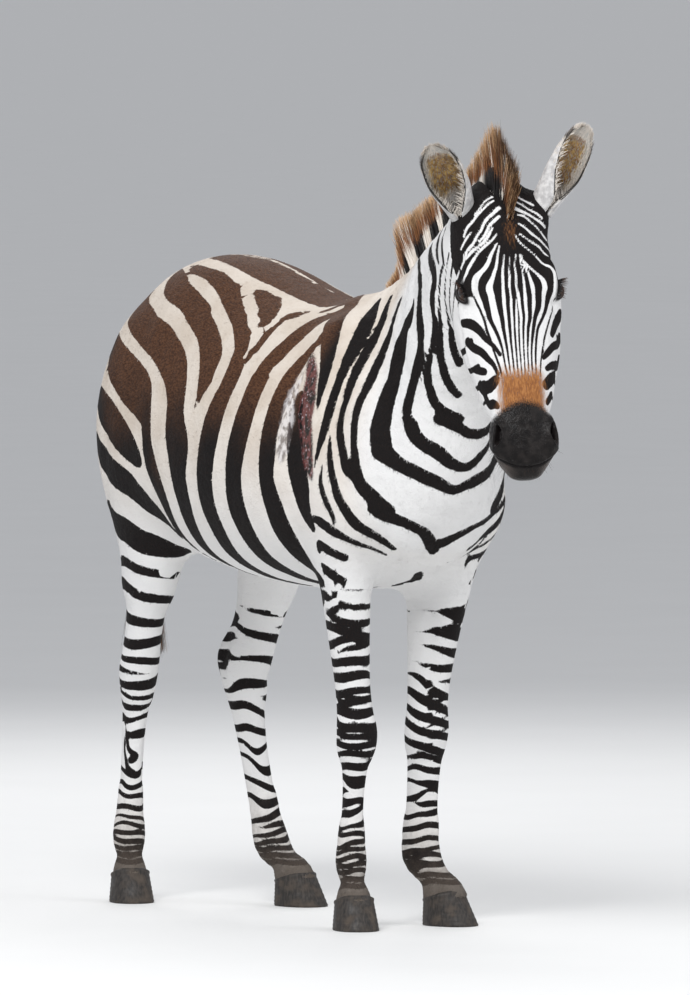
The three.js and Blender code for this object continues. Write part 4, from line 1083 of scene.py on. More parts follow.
class Paint:
    """A material's node tree, written as nested calls."""

    def __init__(self, name):
        self.material = bpy.data.materials.new(name)
        self.material.use_nodes = True
        self.tree = self.material.node_tree
        self.shader = self.tree.nodes["Principled BSDF"]
        self.place = self.tree.nodes.new("ShaderNodeTexCoord").outputs["Object"]

    def set(self, name, value):
        set_socket(self.tree, self.shader.inputs[name], value)

    def node(self, kind, inputs=(), **settings):
        return add_node(self.tree, kind, inputs, **settings)

    def value(self, name):
        return self.node("ShaderNodeAttribute", attribute_name=name).outputs["Fac"]

    def noise(self, scale, detail=2, stretch=None, turn=(0, 0, 0)):
        place = self.place
        if stretch:
            mapping = {"Vector": place, "Scale": stretch, "Rotation": turn}
            place = self.node("ShaderNodeMapping", mapping).outputs[0]
        inputs = {"Vector": place, "Scale": scale, "Detail": detail}
        return self.node("ShaderNodeTexNoise", inputs).outputs["Fac"]

    def math(self, what, a, b=0.0, clamp=False):
        return self.node("ShaderNodeMath", {0: a, 1: b}, operation=what, use_clamp=clamp).outputs[0]

    def swing(self, noise, reach):
        """The noise less its middle, so many times as great."""
        return self.math("MULTIPLY", self.math("SUBTRACT", noise, 0.5), reach)

    def frayed(self, name, noise, reach, clamp=False):
        """A value kept on the mesh, its edge broken up by a noise."""
        return self.math("ADD", self.value(name), self.swing(noise, reach), clamp)

    def ramp(self, value, low, high, a=0.0, b=1.0):
        return self.node("ShaderNodeMapRange", {"Value": value, "From Min": low, "From Max": high, "To Min": a,
                                                "To Max": b}, interpolation_type="SMOOTHSTEP").outputs[0]

    def mix(self, share, a, b):
        return self.node("ShaderNodeMix", {0: share, 6: a, 7: b}, data_type="RGBA").outputs[2]

    def grainy(self, noise, low, high, a, b):
        """One colour where the noise is low, running to another where it is high."""
        return self.mix(self.ramp(noise, low, high), a, b)

    def bump(self, height, distance, strength=1.0, normal=None):
        made = self.node("ShaderNodeBump", {"Height": height, "Distance": distance, "Strength": strength})
        if normal is not None:
            self.tree.links.new(normal, made.inputs["Normal"])
        return made.outputs[0]

    def finished(self, colour, rough, normal=None):
        self.set("Base Color", colour)
        self.set("Roughness", rough)
        if normal is not None:
            self.set("Normal", normal)
        return self.material


# Each pair of colours is the dark one and the light one.
SCUFF_COLOURS = (0.12, 0.10, 0.10), (0.70, 0.67, 0.67)
WOUND_COLOURS = (0.006, 0.005, 0.005), (0.130, 0.038, 0.036)
WOUND_FLECK = (0.42, 0.34, 0.36)
NOSE_COLOURS = (0.20, 0.070, 0.022), (0.40, 0.175, 0.060)
MUZZLE_COLOURS = (0.006, 0.005, 0.005), (0.020, 0.017, 0.016)
LIP_PALE = (0.075, 0.062, 0.056)
MUD_COLOURS = (0.028, 0.022, 0.019), (0.105, 0.082, 0.066)
BARE_SKIN = (0.010, 0.008, 0.008)
RUST, STRAW = (0.24, 0.098, 0.036), (0.66, 0.43, 0.23)
HORN_COLOURS = (0.012, 0.010, 0.009), (0.045, 0.037, 0.031)
HORN_DUST = (0.082, 0.064, 0.050)
IRIS_COLOURS = (0.020, 0.010, 0.006), (0.050, 0.024, 0.012)
PUPIL, EYE_EDGE = (0.002, 0.002, 0.003), (0.035, 0.024, 0.020)
LID_COLOURS = (0.006, 0.005, 0.005), (0.030, 0.024, 0.022)
EAR_BACK = (0.44, 0.43, 0.43), (0.70, 0.69, 0.68)
EAR_HAIR = (0.16, 0.090, 0.028), (0.46, 0.30, 0.10)
EAR_EDGE, EAR_FOOT, EAR_TIP = (0.40, 0.40, 0.38), (0.50, 0.49, 0.48), (0.46, 0.45, 0.42)
EAR_LINE = (0.014, 0.012, 0.011)
FLOOR_COLOURS = (0.80, 0.80, 0.79), (0.83, 0.83, 0.82)


def coat_paint(name, colours):
    """The striped coat of the skin and of its tufts, from the values that both keep."""
    p = Paint(name)
    cream, dust, white, black, brown, light_brown = palette(colours)
    fine, middling, broad = p.noise(420, 3), p.noise(70, 2), p.noise(11, 3)
    streak = p.noise(520, 2, (0.28, 1, 0.62), (0, 0.7, 0))
    rough = p.math("ADD", p.swing(fine, 3.6), p.swing(middling, 3.4))
    dark = p.ramp(p.math("ADD", p.value("mark"), p.math("MULTIPLY", rough, p.value("ragged"))), 0.8, -0.8)
    pale = p.grainy(broad, 0.35, 0.7, cream, dust)
    pale = p.mix(p.ramp(fine, 0.25, 0.75, 0.0, 0.35), pale, dust)
    pale = p.mix(p.value("belly"), pale, white)
    pale = p.mix(p.math("MULTIPLY", p.value("brown"), 0.45), pale, dust)
    tint = p.ramp(p.frayed("brown", broad, 0.5, True), 0.1, 0.8)
    ink = p.mix(tint, black, p.grainy(streak, 0.3, 0.7, brown, light_brown))
    ink = p.mix(p.math("MULTIPLY", p.ramp(fine, 0.5, 0.85), 0.35), ink, brown)
    coat = p.mix(dark, pale, ink)
    grain = p.noise(95, 3, (1, 1, 0.55))
    scuff = p.ramp(p.math("ADD", p.value("scuff"), p.math("MULTIPLY", middling, 16)), 10, -4)
    coat = p.mix(p.math("MULTIPLY", scuff, 0.75), coat, p.grainy(grain, 0.40, 0.58, *SCUFF_COLOURS))
    sore = p.grainy(p.noise(190, 2), 0.60, 0.74, p.grainy(grain, 0.40, 0.60, *WOUND_COLOURS), WOUND_FLECK)
    coat = p.mix(p.math("MULTIPLY", p.ramp(p.frayed("wound", fine, 16), 2, -6), 0.96), coat, sore)
    hairs = p.noise(1, 3, (420, 420, 60))
    nose = p.ramp(p.frayed("chestnut", hairs, 0.9, True), 0.15, 0.95)
    coat = p.mix(nose, coat, p.grainy(hairs, 0.3, 0.7, *NOSE_COLOURS))
    dusky = p.ramp(p.frayed("muzzle", fine, 0.9), 0.2, 0.8)
    skin = p.mix(p.value("pale_lip"), p.grainy(middling, 0.3, 0.8, *MUZZLE_COLOURS), LIP_PALE)
    coat = p.mix(dusky, coat, skin)
    mud = p.ramp(p.frayed("dirt", middling, 0.6), 0.1, 1.0)
    coat = p.mix(p.math("MULTIPLY", mud, 0.9), coat, p.mix(fine, *MUD_COLOURS))
    coat = p.mix(p.value("bare"), coat, BARE_SKIN)
    wet = p.ramp(p.math("MAXIMUM", dusky, p.value("bare")), 0, 1, 0.74, 0.30)
    p.shader.inputs["Specular IOR Level"].default_value = 0.15
    return p.finished(coat, wet, p.bump(p.noise(55, 3), 0.0024, 1.0, p.bump(streak, 0.0012)))


def strand_paint(name, colours):
    """Long hair: `dark`, `warm` and `tip` are kept on each strand."""
    p = Paint(name)
    cream, _, _, black, brown, _ = palette(colours)
    fine, dark = p.noise(300, 2), p.value("dark")
    warm = p.ramp(p.value("warm"), 0.2, 0.8)
    far = p.frayed("tip", fine, 0.3)
    middle = p.mix(warm, p.mix(dark, cream, brown), RUST)
    colour = p.mix(p.ramp(far, 0.40, 0.62), p.mix(dark, cream, black), middle)
    colour = p.mix(p.ramp(far, 0.74, 1.0), colour, p.mix(warm, middle, STRAW))
    p.shader.inputs["Specular IOR Level"].default_value = 0.3
    return p.finished(colour, p.ramp(fine, 0.3, 0.7, 0.55, 0.75), p.bump(fine, 0.0004))


def horn_paint():
    p = Paint("hoof horn")
    place, grain, rings = p.noise(40, 4), p.noise(260, 3, (1, 1, 0.16)), p.noise(150, 2, (0.15, 0.15, 1))
    colour = p.grainy(place, 0.45, 0.75, p.grainy(grain, 0.3, 0.7, *HORN_COLOURS), HORN_DUST)
    return p.finished(colour, p.ramp(place, 0.3, 0.7, 0.5, 0.85), p.bump(rings, 0.0012, 0.8, p.bump(grain, 0.0006)))


def eye_paint():
    p = Paint("wet eye")
    ring, fleck = p.value("iris"), p.noise(900, 3)
    colour = p.grainy(ring, 0.46, 0.54, PUPIL, p.mix(fleck, *IRIS_COLOURS))
    p.shader.inputs["Coat Weight"].default_value = 1.0
    p.shader.inputs["Coat Roughness"].default_value = 0.02
    p.shader.inputs["Specular IOR Level"].default_value = 0.6
    return p.finished(p.grainy(ring, 0.92, 1.06, colour, EYE_EDGE), p.ramp(fleck, 0.3, 0.7, 0.03, 0.06))


def rim_paint():
    p = Paint("eyelid margin")
    fine = p.noise(700, 3)
    return p.finished(p.mix(fine, *LID_COLOURS), p.ramp(fine, 0.3, 0.7, 0.28, 0.45), p.bump(fine, 0.0004))


def ear_paint(colours):
    """`share` runs from root to tip, `inner` is 1 inside the cup, `rim` and `edge` rise to 1 at its edge."""
    p = Paint("ear skin")
    cream, _, _, black, _, _ = palette(colours)
    fine, middling = p.noise(480, 3), p.noise(90, 2)
    share = p.frayed("share", fine, 0.08)
    bar = p.math("ABSOLUTE", p.math("SUBTRACT", share, 0.84))
    outside = p.grainy(bar, 0.09, 0.05, p.grainy(middling, 0.3, 0.7, *EAR_BACK), black)
    inside = p.grainy(middling, 0.3, 0.7, *EAR_HAIR)
    inside = p.grainy(p.frayed("edge", middling, 0.3), 0.42, 0.72, inside, EAR_EDGE)
    inside = p.grainy(share, 0.38, 0.24, inside, EAR_FOOT)
    inside = p.grainy(share, 0.80, 0.93, inside, EAR_TIP)
    colour = p.mix(p.value("inner"), outside, inside)
    colour = p.grainy(p.value("rim"), 0.55, 0.85, colour, p.grainy(share, 0.94, 1.0, EAR_LINE, cream))
    return p.finished(colour, p.ramp(middling, 0.3, 0.7, 0.7, 0.85), p.bump(fine, 0.0008))


def floor_paint():
    p = Paint("studio floor")
    return p.finished(p.mix(p.noise(3, 2), *FLOOR_COLOURS), 0.9)


def palette(colours):
    """The panel's colours, in the order of their list."""
    return [getattr(colours, name)[:3] for name in ("cream", "dust", "white", "black", "brown", "brown_light")]


# ---------------------------------------------------------------- making objects
def add_object(name, mesh, materials=(), smooth=True):
    made = bpy.data.objects.new(name, mesh)
    bpy.context.scene.collection.objects.link(made)
    for m in materials:
        mesh.materials.append(m)
    if smooth:
        mesh.polygons.foreach_set("use_smooth", [True] * len(mesh.polygons))
    return made


def mesh_from(name, points, faces):
    mesh = bpy.data.meshes.new(name)
    mesh.from_pydata([tuple(p) for p in points], [], [tuple(int(i) for i in f) for f in faces])
    mesh.update()
    return mesh


def grid_faces(rows, count, wrap=False):
    """Quads over rows of points that each hold the same count."""
    made = []
    for i in range(rows - 1):
        for j in range(count if wrap else count - 1):
            a, b = i * count + j, i * count + (j + 1) % count
            made.append((a, b, b + count, a + count))
    return made


def outward(mesh, weld=0.0):
    """Turns a closed mesh's faces to point out of it, after making spots nearer than `weld` one."""
    bm = bmesh.new()
    bm.from_mesh(mesh)
    if weld:
        bmesh.ops.remove_doubles(bm, verts=bm.verts, dist=weld)
    bmesh.ops.recalc_face_normals(bm, faces=bm.faces)
    bm.to_mesh(mesh)
    bm.free()
    return mesh


# ---------------------------------------------------------------- hair that follows a surface
def blade_tree(segments):
    """Stands one tapering blade on each point, along its `lie`, with its face to `rise` and scaled by `size`."""
    tree = bpy.data.node_groups.new("blades on a surface", "GeometryNodeTree")
    face = tree.interface
    face.new_socket("Geometry", in_out="INPUT", socket_type="NodeSocketGeometry")
    for name, value in (("Length", 0.014), ("Width", 0.003), ("Bow", 0.1), ("Tip", 0.15)):
        face.new_socket(name, in_out="INPUT", socket_type="NodeSocketFloat").default_value = value
    face.new_socket("Material", in_out="INPUT", socket_type="NodeSocketMaterial")
    face.new_socket("Geometry", in_out="OUTPUT", socket_type="NodeSocketGeometry")

    def add(kind, inputs=(), **settings):
        return add_node(tree, kind, inputs, **settings)

    def math_of(what, a, b):
        return add("ShaderNodeMath", {0: a, 1: b}, operation=what).outputs[0]

    def named(name):
        return add("GeometryNodeInputNamedAttribute", {"Name": name}, data_type="FLOAT_VECTOR").outputs["Attribute"]

    source = add("NodeGroupInput").outputs
    grid = add("GeometryNodeMeshGrid", {"Size X": 1, "Size Y": 1, "Vertices X": 2, "Vertices Y": segments + 1})
    where = add("ShaderNodeSeparateXYZ", {0: add("GeometryNodeInputPosition").outputs[0]}).outputs
    t = math_of("ADD", where["Y"], 0.5)
    leaf = add("ShaderNodeCombineXYZ", {0: math_of("ADD", where["X"], 0.5), 1: t})
    store = add("GeometryNodeStoreNamedAttribute", {"Name": "leaf", "Geometry": grid.outputs["Mesh"],
                                                    "Value": leaf.outputs[0]},
                data_type="FLOAT_VECTOR", domain="POINT")
    thinning = math_of("MULTIPLY", math_of("POWER", t, 1.6), math_of("SUBTRACT", 1.0, source["Tip"]))
    wide = math_of("MULTIPLY", math_of("MULTIPLY", where["X"], source["Width"]),
                   math_of("SUBTRACT", 1.0, thinning))
    bow = math_of("MULTIPLY", math_of("MULTIPLY", t, t), math_of("MULTIPLY", source["Bow"], source["Length"]))
    shape = add("ShaderNodeCombineXYZ", {0: wide, 1: math_of("MULTIPLY", t, source["Length"]), 2: bow})
    place = add("GeometryNodeSetPosition", {"Geometry": store.outputs[0], "Position": shape.outputs[0]})
    turn = add("FunctionNodeAxesToRotation", {"Primary Axis": named("lie"), "Secondary Axis": named("rise")},
               primary_axis="Y", secondary_axis="Z")
    stand = add("GeometryNodeInstanceOnPoints", {"Points": source["Geometry"], "Instance": place.outputs[0],
                                                 "Rotation": turn.outputs[0], "Scale": named("size")})
    real = add("GeometryNodeRealizeInstances", {0: stand.outputs[0]})
    paint = add("GeometryNodeSetMaterial", {"Geometry": real.outputs[0], "Material": source["Material"]})
    add("NodeGroupOutput", {0: paint.outputs[0]})
    return tree


TREES = {}


def grow(name, points, lie, rise, size, values, material, segments=2, width=0.003, bow=0.1, tip=0.15):
    """A piece of many blades from root points in plan millimetres, with the values carried on to each blade."""
    carrier = bpy.data.meshes.new(name)
    carrier.vertices.add(len(points))
    carrier.vertices.foreach_set("co", to_model(points).astype(np.float32).ravel())
    for key, value in {"lie": unit(lie), "rise": unit(rise), "size": np.asarray(size, float), **values}.items():
        put(carrier, key, value, "FLOAT_VECTOR" if np.ndim(value) > 1 else "FLOAT")
    holder = bpy.data.objects.new(name + "_roots", carrier)
    bpy.context.scene.collection.objects.link(holder)
    if segments not in TREES:
        TREES[segments] = blade_tree(segments)
    live = holder.modifiers.new("blades", "NODES")
    live.node_group = TREES[segments]
    wanted = {"Length": 1.0, "Width": width, "Bow": bow, "Tip": tip, "Material": material}
    for item in TREES[segments].interface.items_tree:
        if item.in_out == "INPUT" and item.name in wanted:
            live[item.identifier] = wanted[item.name]
    graph = bpy.context.evaluated_depsgraph_get()
    mesh = bpy.data.meshes.new_from_object(holder.evaluated_get(graph), depsgraph=graph)
    mesh.name = name
    bpy.data.objects.remove(holder)
    leaf, root = vectors(mesh, "leaf"), vectors(mesh, "root_uv")
    put(mesh, "tip", leaf[:, 1])
    index = np.empty(len(mesh.loops), np.int32)
    mesh.loops.foreach_get("vertex_index", index)
    uv = (root[:, :2] + BAKE_PATCH * (leaf[:, :2] - 0.5))[index]
    mesh.uv_layers.new(name="OFBake").data.foreach_set("uv", np.clip(uv, 0, 1).astype(np.float32).ravel())
    for extra in ("leaf", "root_uv", "lie", "rise", "size"):
        if extra in mesh.attributes:
            mesh.attributes.remove(mesh.attributes[extra])
    mesh.materials.clear()
    return add_object(name, mesh, [material])


def vectors(mesh, name):
    flat = np.empty(len(mesh.vertices) * 3, np.float32)
    mesh.attributes[name].data.foreach_get("vector", flat)
    return flat.reshape(-1, 3)


# ---------------------------------------------------------------- what the operators share
MADE = {}


def sizes():
    return bpy.context.scene.zebra_sizes


def colours():
    return bpy.context.scene.zebra_colours


def settle(made, nodes=()):
    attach(made, "root")
    if nodes:
        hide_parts(*nodes)
    return made


def shared_material(name, paint):
    """The material that several pieces share, made the first time it is asked for."""
    if name not in MADE:
        MADE[name] = paint(name, colours())
    return MADE[name]


def coat_material():
    return shared_material("striped coat", coat_paint)


def strand_material():
    return shared_material("long hair", strand_paint)


def strand_size(length):
    """Each strand's scale in metres: across, along, and for its bow."""
    return np.stack([np.full(len(length), MM), length * MM, length * MM], 1)


def skin_faces():
    """The skin's triangles: vertex indices, areas and middles in plan millimetres."""
    if "triangles" not in MADE:
        mesh = MADE["skin"].data
        mesh.calc_loop_triangles()
        tri = np.empty(len(mesh.loop_triangles) * 3, np.int32)
        mesh.loop_triangles.foreach_get("vertices", tri)
        tri = tri.reshape(-1, 3)
        p = MADE["points"][tri]
        area = np.linalg.norm(np.cross(p[:, 1] - p[:, 0], p[:, 2] - p[:, 0]), axis=1) / 2
        MADE["triangles"] = tri, area, p.mean(1)
    return MADE["triangles"]


def scatter(count, density, rng):
    """Root spots on the skin: their places, normals and every value kept on the skin."""
    tri, area, middle = skin_faces()
    weight = area * density(middle)
    pick = rng.choice(len(tri), count, p=weight / weight.sum())
    a, b = rng.uniform(size=(2, count))
    flip = a + b > 1
    a[flip], b[flip] = 1 - a[flip], 1 - b[flip]
    share = np.stack([1 - a - b, a, b], 1)
    corners = tri[pick]
    blend = lambda values: (values[corners] * (share[..., None] if values.ndim > 1 else share)).sum(1)
    found = {name: blend(values) for name, values in MADE["masks"].items()}
    return blend(MADE["points"]), unit(blend(MADE["normals"])), found


def lie_of_coat(points, facing):
    """Which way the hair lies: back and down on the body, down the legs and the face."""
    x, y, z = points.T
    d, left, out = in_head(points)
    away = np.sign(y)[:, None] * vec(0, 1, 0)
    lie = np.tile(vec(-0.72, 0, -0.55), (len(points), 1))
    back = step_between(1050, 1200, z)[:, None] * (x < 380)[:, None]
    lie = mix(lie, vec(-1, 0, -0.1) + 0.25 * away, back)
    neck = step_between(380, 560, x)[:, None] * step_between(850, 1000, z)[:, None]
    lie = mix(lie, vec(-0.45, 0, -0.9) + 0.1 * away, neck)
    chest = step_between(430, 520, x)[:, None] * (1 - step_between(900, 1000, z))[:, None]
    lie = mix(lie, vec(-0.15, 0, -1) + 0.15 * away, chest)
    legs = (1 - step_between(560, 700, z))[:, None]
    lie = mix(lie, vec(-0.12, 0, -1), legs)
    rump = step_between(330, 470, -x)[:, None]
    lie = mix(lie, vec(-0.15, 0, -1), rump)
    head = (step_between(-30, 20, d + 0.48 * out + 16) * of_head(points))[:, None]
    face = HEAD_DOWN + np.clip(left / 90, -1, 1)[:, None] * 0.30 * HEAD_LEFT \
        - (0.55 * step_between(20, 120, -out))[:, None] * HEAD_OUT
    crown = -HEAD_DOWN + np.clip(left / 70, -1, 1)[:, None] * 1.2 * HEAD_LEFT
    face = mix(face, crown, (1 - step_between(95, 150, d))[:, None] * (np.abs(left) > 12)[:, None])
    lie = mix(lie, face, head)
    lie = lie - (lie * facing).sum(1)[:, None] * facing
    return unit(lie)


def turned(angle):
    """An angle as a share of a full turn."""
    return angle / (2 * math.pi) + 0.5


def unwrapped(points):
    """Where a spot of the skin lies on its own flat unwrap: each part of the body rolled out, side by side."""
    x, y, z = points.T
    d, left, out = in_head(points)
    u, v = 0.02 + 0.42 * (x + 680) / 1330, 0.52 + 0.44 * turned(np.arctan2(y, z - 930))
    neck = (x > 470) & (z > 880)
    q = points - vec(470, 0, 1040)
    along, high = q @ unit(vec(0.76, -0.1, 0.64)), q @ unit(vec(-0.64, 0, 0.76))
    u[neck] = 0.02 + 0.28 * np.clip(along[neck] + 60, 0, 560) / 560
    v[neck] = 0.04 + 0.42 * turned(np.arctan2(y + 0.08 * (x - 470), high)[neck])
    head = of_head(points)
    u[head] = 0.34 + 0.24 * np.clip(d[head] + 20, 0, 570) / 570
    v[head] = 0.04 + 0.42 * turned(np.arctan2(left, out + 80)[head])
    for n, leg in enumerate(LEGS.values()):
        away, angle = round_leg(points, leg)
        here = (away < 120) & (z < 690) & ((z < 560) | (away < 90))
        u[here] = 0.62 + 0.36 * z[here] / 700
        v[here] = 0.03 + 0.24 * n + 0.2 * turned(angle[here])
    return np.stack([u, v, 0 * u], 1)


def tuft_share(points):
    """A tuft's length against the coat's: short on the face and legs, and least round the eyes."""
    face = np.interp(in_head(points)[0], [0, 120, 300, 400, 470], [0.85, 0.55, 0.42, 0.30, 0.14])
    for side in (LEFT, RIGHT):
        near = np.linalg.norm(points - eye_centre(side), axis=1)
        face = np.minimum(face, np.interp(near, [20, 60], [0.22, 0.8]))
    rest = np.interp(points[:, 2], [52, 70, 110, 300, 620, 700], [1.3, 1.0, 0.6, 0.55, 0.8, 1.0])
    return np.where(of_head(points), face, rest)


# ---------------------------------------------------------------- settings
def whole(name, description, value, least):
    return bpy.props.IntProperty(name=name, description=description, default=value, min=least)


class ZebraSizes(bpy.types.PropertyGroup):
    coat_length: bpy.props.FloatProperty(name="Coat length", description="Length of a body tuft",
                                         default=0.0095, unit="LENGTH")
    coat_lift: bpy.props.FloatProperty(name="Coat lift", description="How far a tuft tips up from the skin",
                                       default=0.17, min=0, max=1)
    tufts: whole("Tufts", "Tufts in each piece of coat", 46000, 1000)
    mane_hairs: whole("Mane hairs", "Strands in the mane", 15500, 500)
    tail_hairs: whole("Tail hairs", "Strands in the tail's tuft", 5200, 200)
    horn_rings: whole("Horn rings", "Growth rings on a hoof", 7, 0)


def colour(name, description, value):
    return bpy.props.FloatVectorProperty(name=name, description=description, default=value, subtype="COLOR",
                                         size=3, min=0, max=1)


class ZebraColours(bpy.types.PropertyGroup):
    cream: colour("Cream", "Light stripes of the back, neck and face", (0.76, 0.70, 0.63))
    dust: colour("Dust", "Dusty tint over the light stripes", (0.60, 0.52, 0.44))
    white: colour("White", "Belly, chest and inner legs", (0.76, 0.755, 0.75))
    black: colour("Black", "Dark stripes", (0.0075, 0.006, 0.006))
    brown: colour("Brown", "Stripes of the back and tips of the mane", (0.042, 0.018, 0.010))
    brown_light: colour("Light brown", "Hair that the sun has bleached", (0.115, 0.052, 0.026))


# ---------------------------------------------------------------- operators
class OBJECT_OT_zebra_skin(bpy.types.Operator):
    """One skin over the whole body, with lids, nostrils, mouth and the stripes"""
    bl_idname = "object.zebra_skin"
    bl_label = "Skin"

    def execute(self, context):
        mesh = build_skin_mesh()
        points = coords(mesh)
        set_coords(mesh, flesh_folds(points, normals(mesh)))
        set_coords(mesh, shape_muzzle(coords(mesh), normals(mesh)))
        set_coords(mesh, shape_lids(coords(mesh)))
        points = coords(mesh)
        for leg in LEGS.values():  # under the horn
            toe, sole = toe_of(leg), vec(*leg["sole"], 0)
            q = points - (sole - 4 * toe)
            here = (np.hypot(q[:, 0], q[:, 1]) < 95) & (points[:, 2] < 70)
            line = CORONET - 4 + 0.16 * (q @ toe)
            shrink = 1 - 0.16 * (1 - step_between(-6, 2, points[:, 2] - line))
            middle = sole - 14 * toe
            moved = middle + (points - middle) * shrink[:, None]
            moved[:, 2] = np.maximum(points[:, 2], 5)
            points = np.where(here[:, None], moved, points)
        set_coords(mesh, points)
        faces = [tuple(f.vertices) for f in mesh.polygons]
        skin = Caster(points, faces)
        strokes = {"body": body_strokes(skin), "brow": brow_strokes(skin), "pale": pale_strokes(skin),
                   "face": face_strokes(skin),
                   "wound": laid(lambda x, z: skin.side(x, z, RIGHT), WOUND),
                   "scuff": laid(lambda x, z: skin.side(x, z, RIGHT), SCUFF)}
        masks = {**region_masks(points), **stripe_masks(points, strokes)}
        for name, values in masks.items():
            put(mesh, name, values)
        MADE.update(points=points, normals=normals(mesh), masks=masks, caster=skin)
        set_coords(mesh, to_model(points))
        mesh.name = "skin"
        made = add_object("skin", mesh, [coat_material()])
        MADE["skin"] = made
        legs = [f"{end}leg_{side}_{part}" for end in ("fore", "hind") for side in ("left", "right")
                for part in ("upper", "lower")]
        settle(made, ["trunk", "neck", "head", "tail_dock", *legs])
        return {"FINISHED"}


BALL_RINGS, BALL_STEPS = 40, 48
LID_STEPS, LID_ROUND = 72, 8


class OBJECT_OT_zebra_eyes(bpy.types.Operator):
    """The two eyes with their cornea, and the dark margins of the lids"""
    bl_idname = "object.zebra_eyes"
    bl_label = "Eyes"

    def execute(self, context):
        wet, margin = eye_paint(), rim_paint()
        for side, name in ((LEFT, "left"), (RIGHT, "right")):
            points = []
            for i in range(BALL_RINGS + 1):
                tilt = math.pi * i / BALL_RINGS
                radius = EYE_RADIUS - 0.8 + 0.9 * math.exp(-(tilt / 0.55) ** 4)  # with the cornea's bulge
                points += [on_eye(side, tilt, 2 * math.pi * j / BALL_STEPS, radius) for j in range(BALL_STEPS)]
            faces = grid_faces(BALL_RINGS + 1, BALL_STEPS, True)
            mesh = outward(mesh_from(f"eyeball_{name}", to_model(points), faces), weld=1e-5)
            look = unit(coords(mesh) * 1000 + vec(MIDDLE, 0, 0) - eye_centre(side))
            put(mesh, "iris", np.arccos(np.clip(look @ eye_looks(side), -1, 1)) / 0.80)
            settle(add_object(f"eyeball_{name}", mesh, [wet]), [f"eye_{name}"])
            ring = []
            for turn in np.linspace(0, 2 * math.pi, LID_STEPS + 1)[:-1]:
                edge = float(lid_edge(np.array(turn)))
                for k in range(LID_ROUND):
                    a = 2 * math.pi * k / LID_ROUND
                    off = edge + (0.2 + 1.7 * math.cos(a)) / EYE_RADIUS
                    ring.append(on_eye(side, off, turn, EYE_RADIUS + 0.9 + 1.5 * math.sin(a)))
            faces = [tuple(i % len(ring) for i in face) for face in grid_faces(LID_STEPS + 1, LID_ROUND, True)]
            mesh = outward(mesh_from(f"lid_margin_{name}", to_model(ring), faces))
            settle(add_object(f"lid_margin_{name}", mesh, [margin]))
        return {"FINISHED"}


class OBJECT_OT_zebra_hooves(bpy.types.Operator):
    """The four hooves, with growth rings, a coronet and a heel"""
    bl_idname = "object.zebra_hooves"
    bl_label = "Hooves"

    def execute(self, context):
        horn = horn_paint()
        rings, count = 22, 72
        for name, leg in LEGS.items():
            toe, sole = toe_of(leg), vec(*leg["sole"], 0)
            across = vec(-toe[1], toe[0], 0)
            rows = []
            for i in range(rings):
                t = i / (rings - 1)
                for j in range(count):
                    turn = 2 * math.pi * j / count
                    ahead, beside = math.cos(turn), math.sin(turn)
                    top = CORONET + 4 + 9 * ahead
                    z = top * t
                    low = vec(57, 43, 0)
                    high = vec(41, 36, 0)
                    half = low + (high - low) * min(z / CORONET, 1.15)
                    middle = sole - toe * (14 * min(z / CORONET, 1.1) + 1)
                    swell = 0.45 * math.sin(t * 2 * math.pi * sizes().horn_rings) * (1 - t) ** 0.3
                    lip = 1.8 * math.exp(-((t - 0.93) / 0.05) ** 2) - 5.5 * max(0, (t - 0.96) / 0.04)
                    edge = -1.6 * max(0, 1 - z / 3)
                    heel = 1 - 0.16 * math.exp(-((turn - math.pi) / 0.22) ** 2)
                    power = 2.25
                    r = (abs(ahead / half[0]) ** power + abs(beside / half[1]) ** power) ** (-1 / power)
                    r = (r + swell + lip + edge) * heel
                    rows.append(middle + toe * r * ahead + across * r * beside + vec(0, 0, z))
            faces = grid_faces(rings, count, True)
            base = len(rows)
            for k in range(1, 7):
                for j in range(count):
                    edge_spot = rows[j]
                    middle = sole - toe * 4
                    frog = 5 * math.sin(k / 7 * math.pi) * (0.6 + 0.4 * math.cos(6 * math.pi * j / count))
                    spot = mix(edge_spot, middle, k / 7)
                    rows.append(vec(spot[0], spot[1], max(0.0, frog if k > 1 else 0)))
            for k in range(6):
                first = 0 if k == 0 else base + (k - 1) * count
                second = base + k * count
                for j in range(count):
                    faces.append((first + j, second + j, second + (j + 1) % count, first + (j + 1) % count))
            faces.append(tuple(base + 5 * count + j for j in range(count)))
            faces.append(tuple(reversed([(rings - 1) * count + j for j in range(count)])))
            label = f"horn_{name}"
            made = add_object(label, outward(mesh_from(label, to_model(rows), faces)), [horn])
            settle(made, [f"hoof_{name}"])
        return {"FINISHED"}


EARS = {
    "right": dict(root=(26, -66, -44), tip=(-80, -136, 66), front=(0.16, -0.5, 0.85)),
    "left": dict(root=(18, 72, -40), tip=(-125, 168, 8), front=(0.16, 0.62, 0.77)),
}
EAR_RINGS = [  # share of the length, half width, half depth, half angle of the C, wall
    (0, 27, 24, 171, 9), (0.16, 29, 26, 168, 8), (0.3, 34, 27, 145, 6.5), (0.46, 40, 25, 126, 5.5),
    (0.64, 41, 20, 112, 5), (0.8, 37, 14, 102, 5), (0.91, 28, 9, 96, 5), (0.975, 17, 5, 92, 5), (1, 9, 3, 90, 4.5),
]


def ear_frame(ear):
    foot = on_head(*ear["root"])
    reach = on_head(*ear["tip"]) - foot
    axis = unit(reach)
    facing = head_direction(ear["front"])
    face = unit(facing - (facing @ axis) * axis)
    return foot, reach, axis, face, np.cross(axis, face)


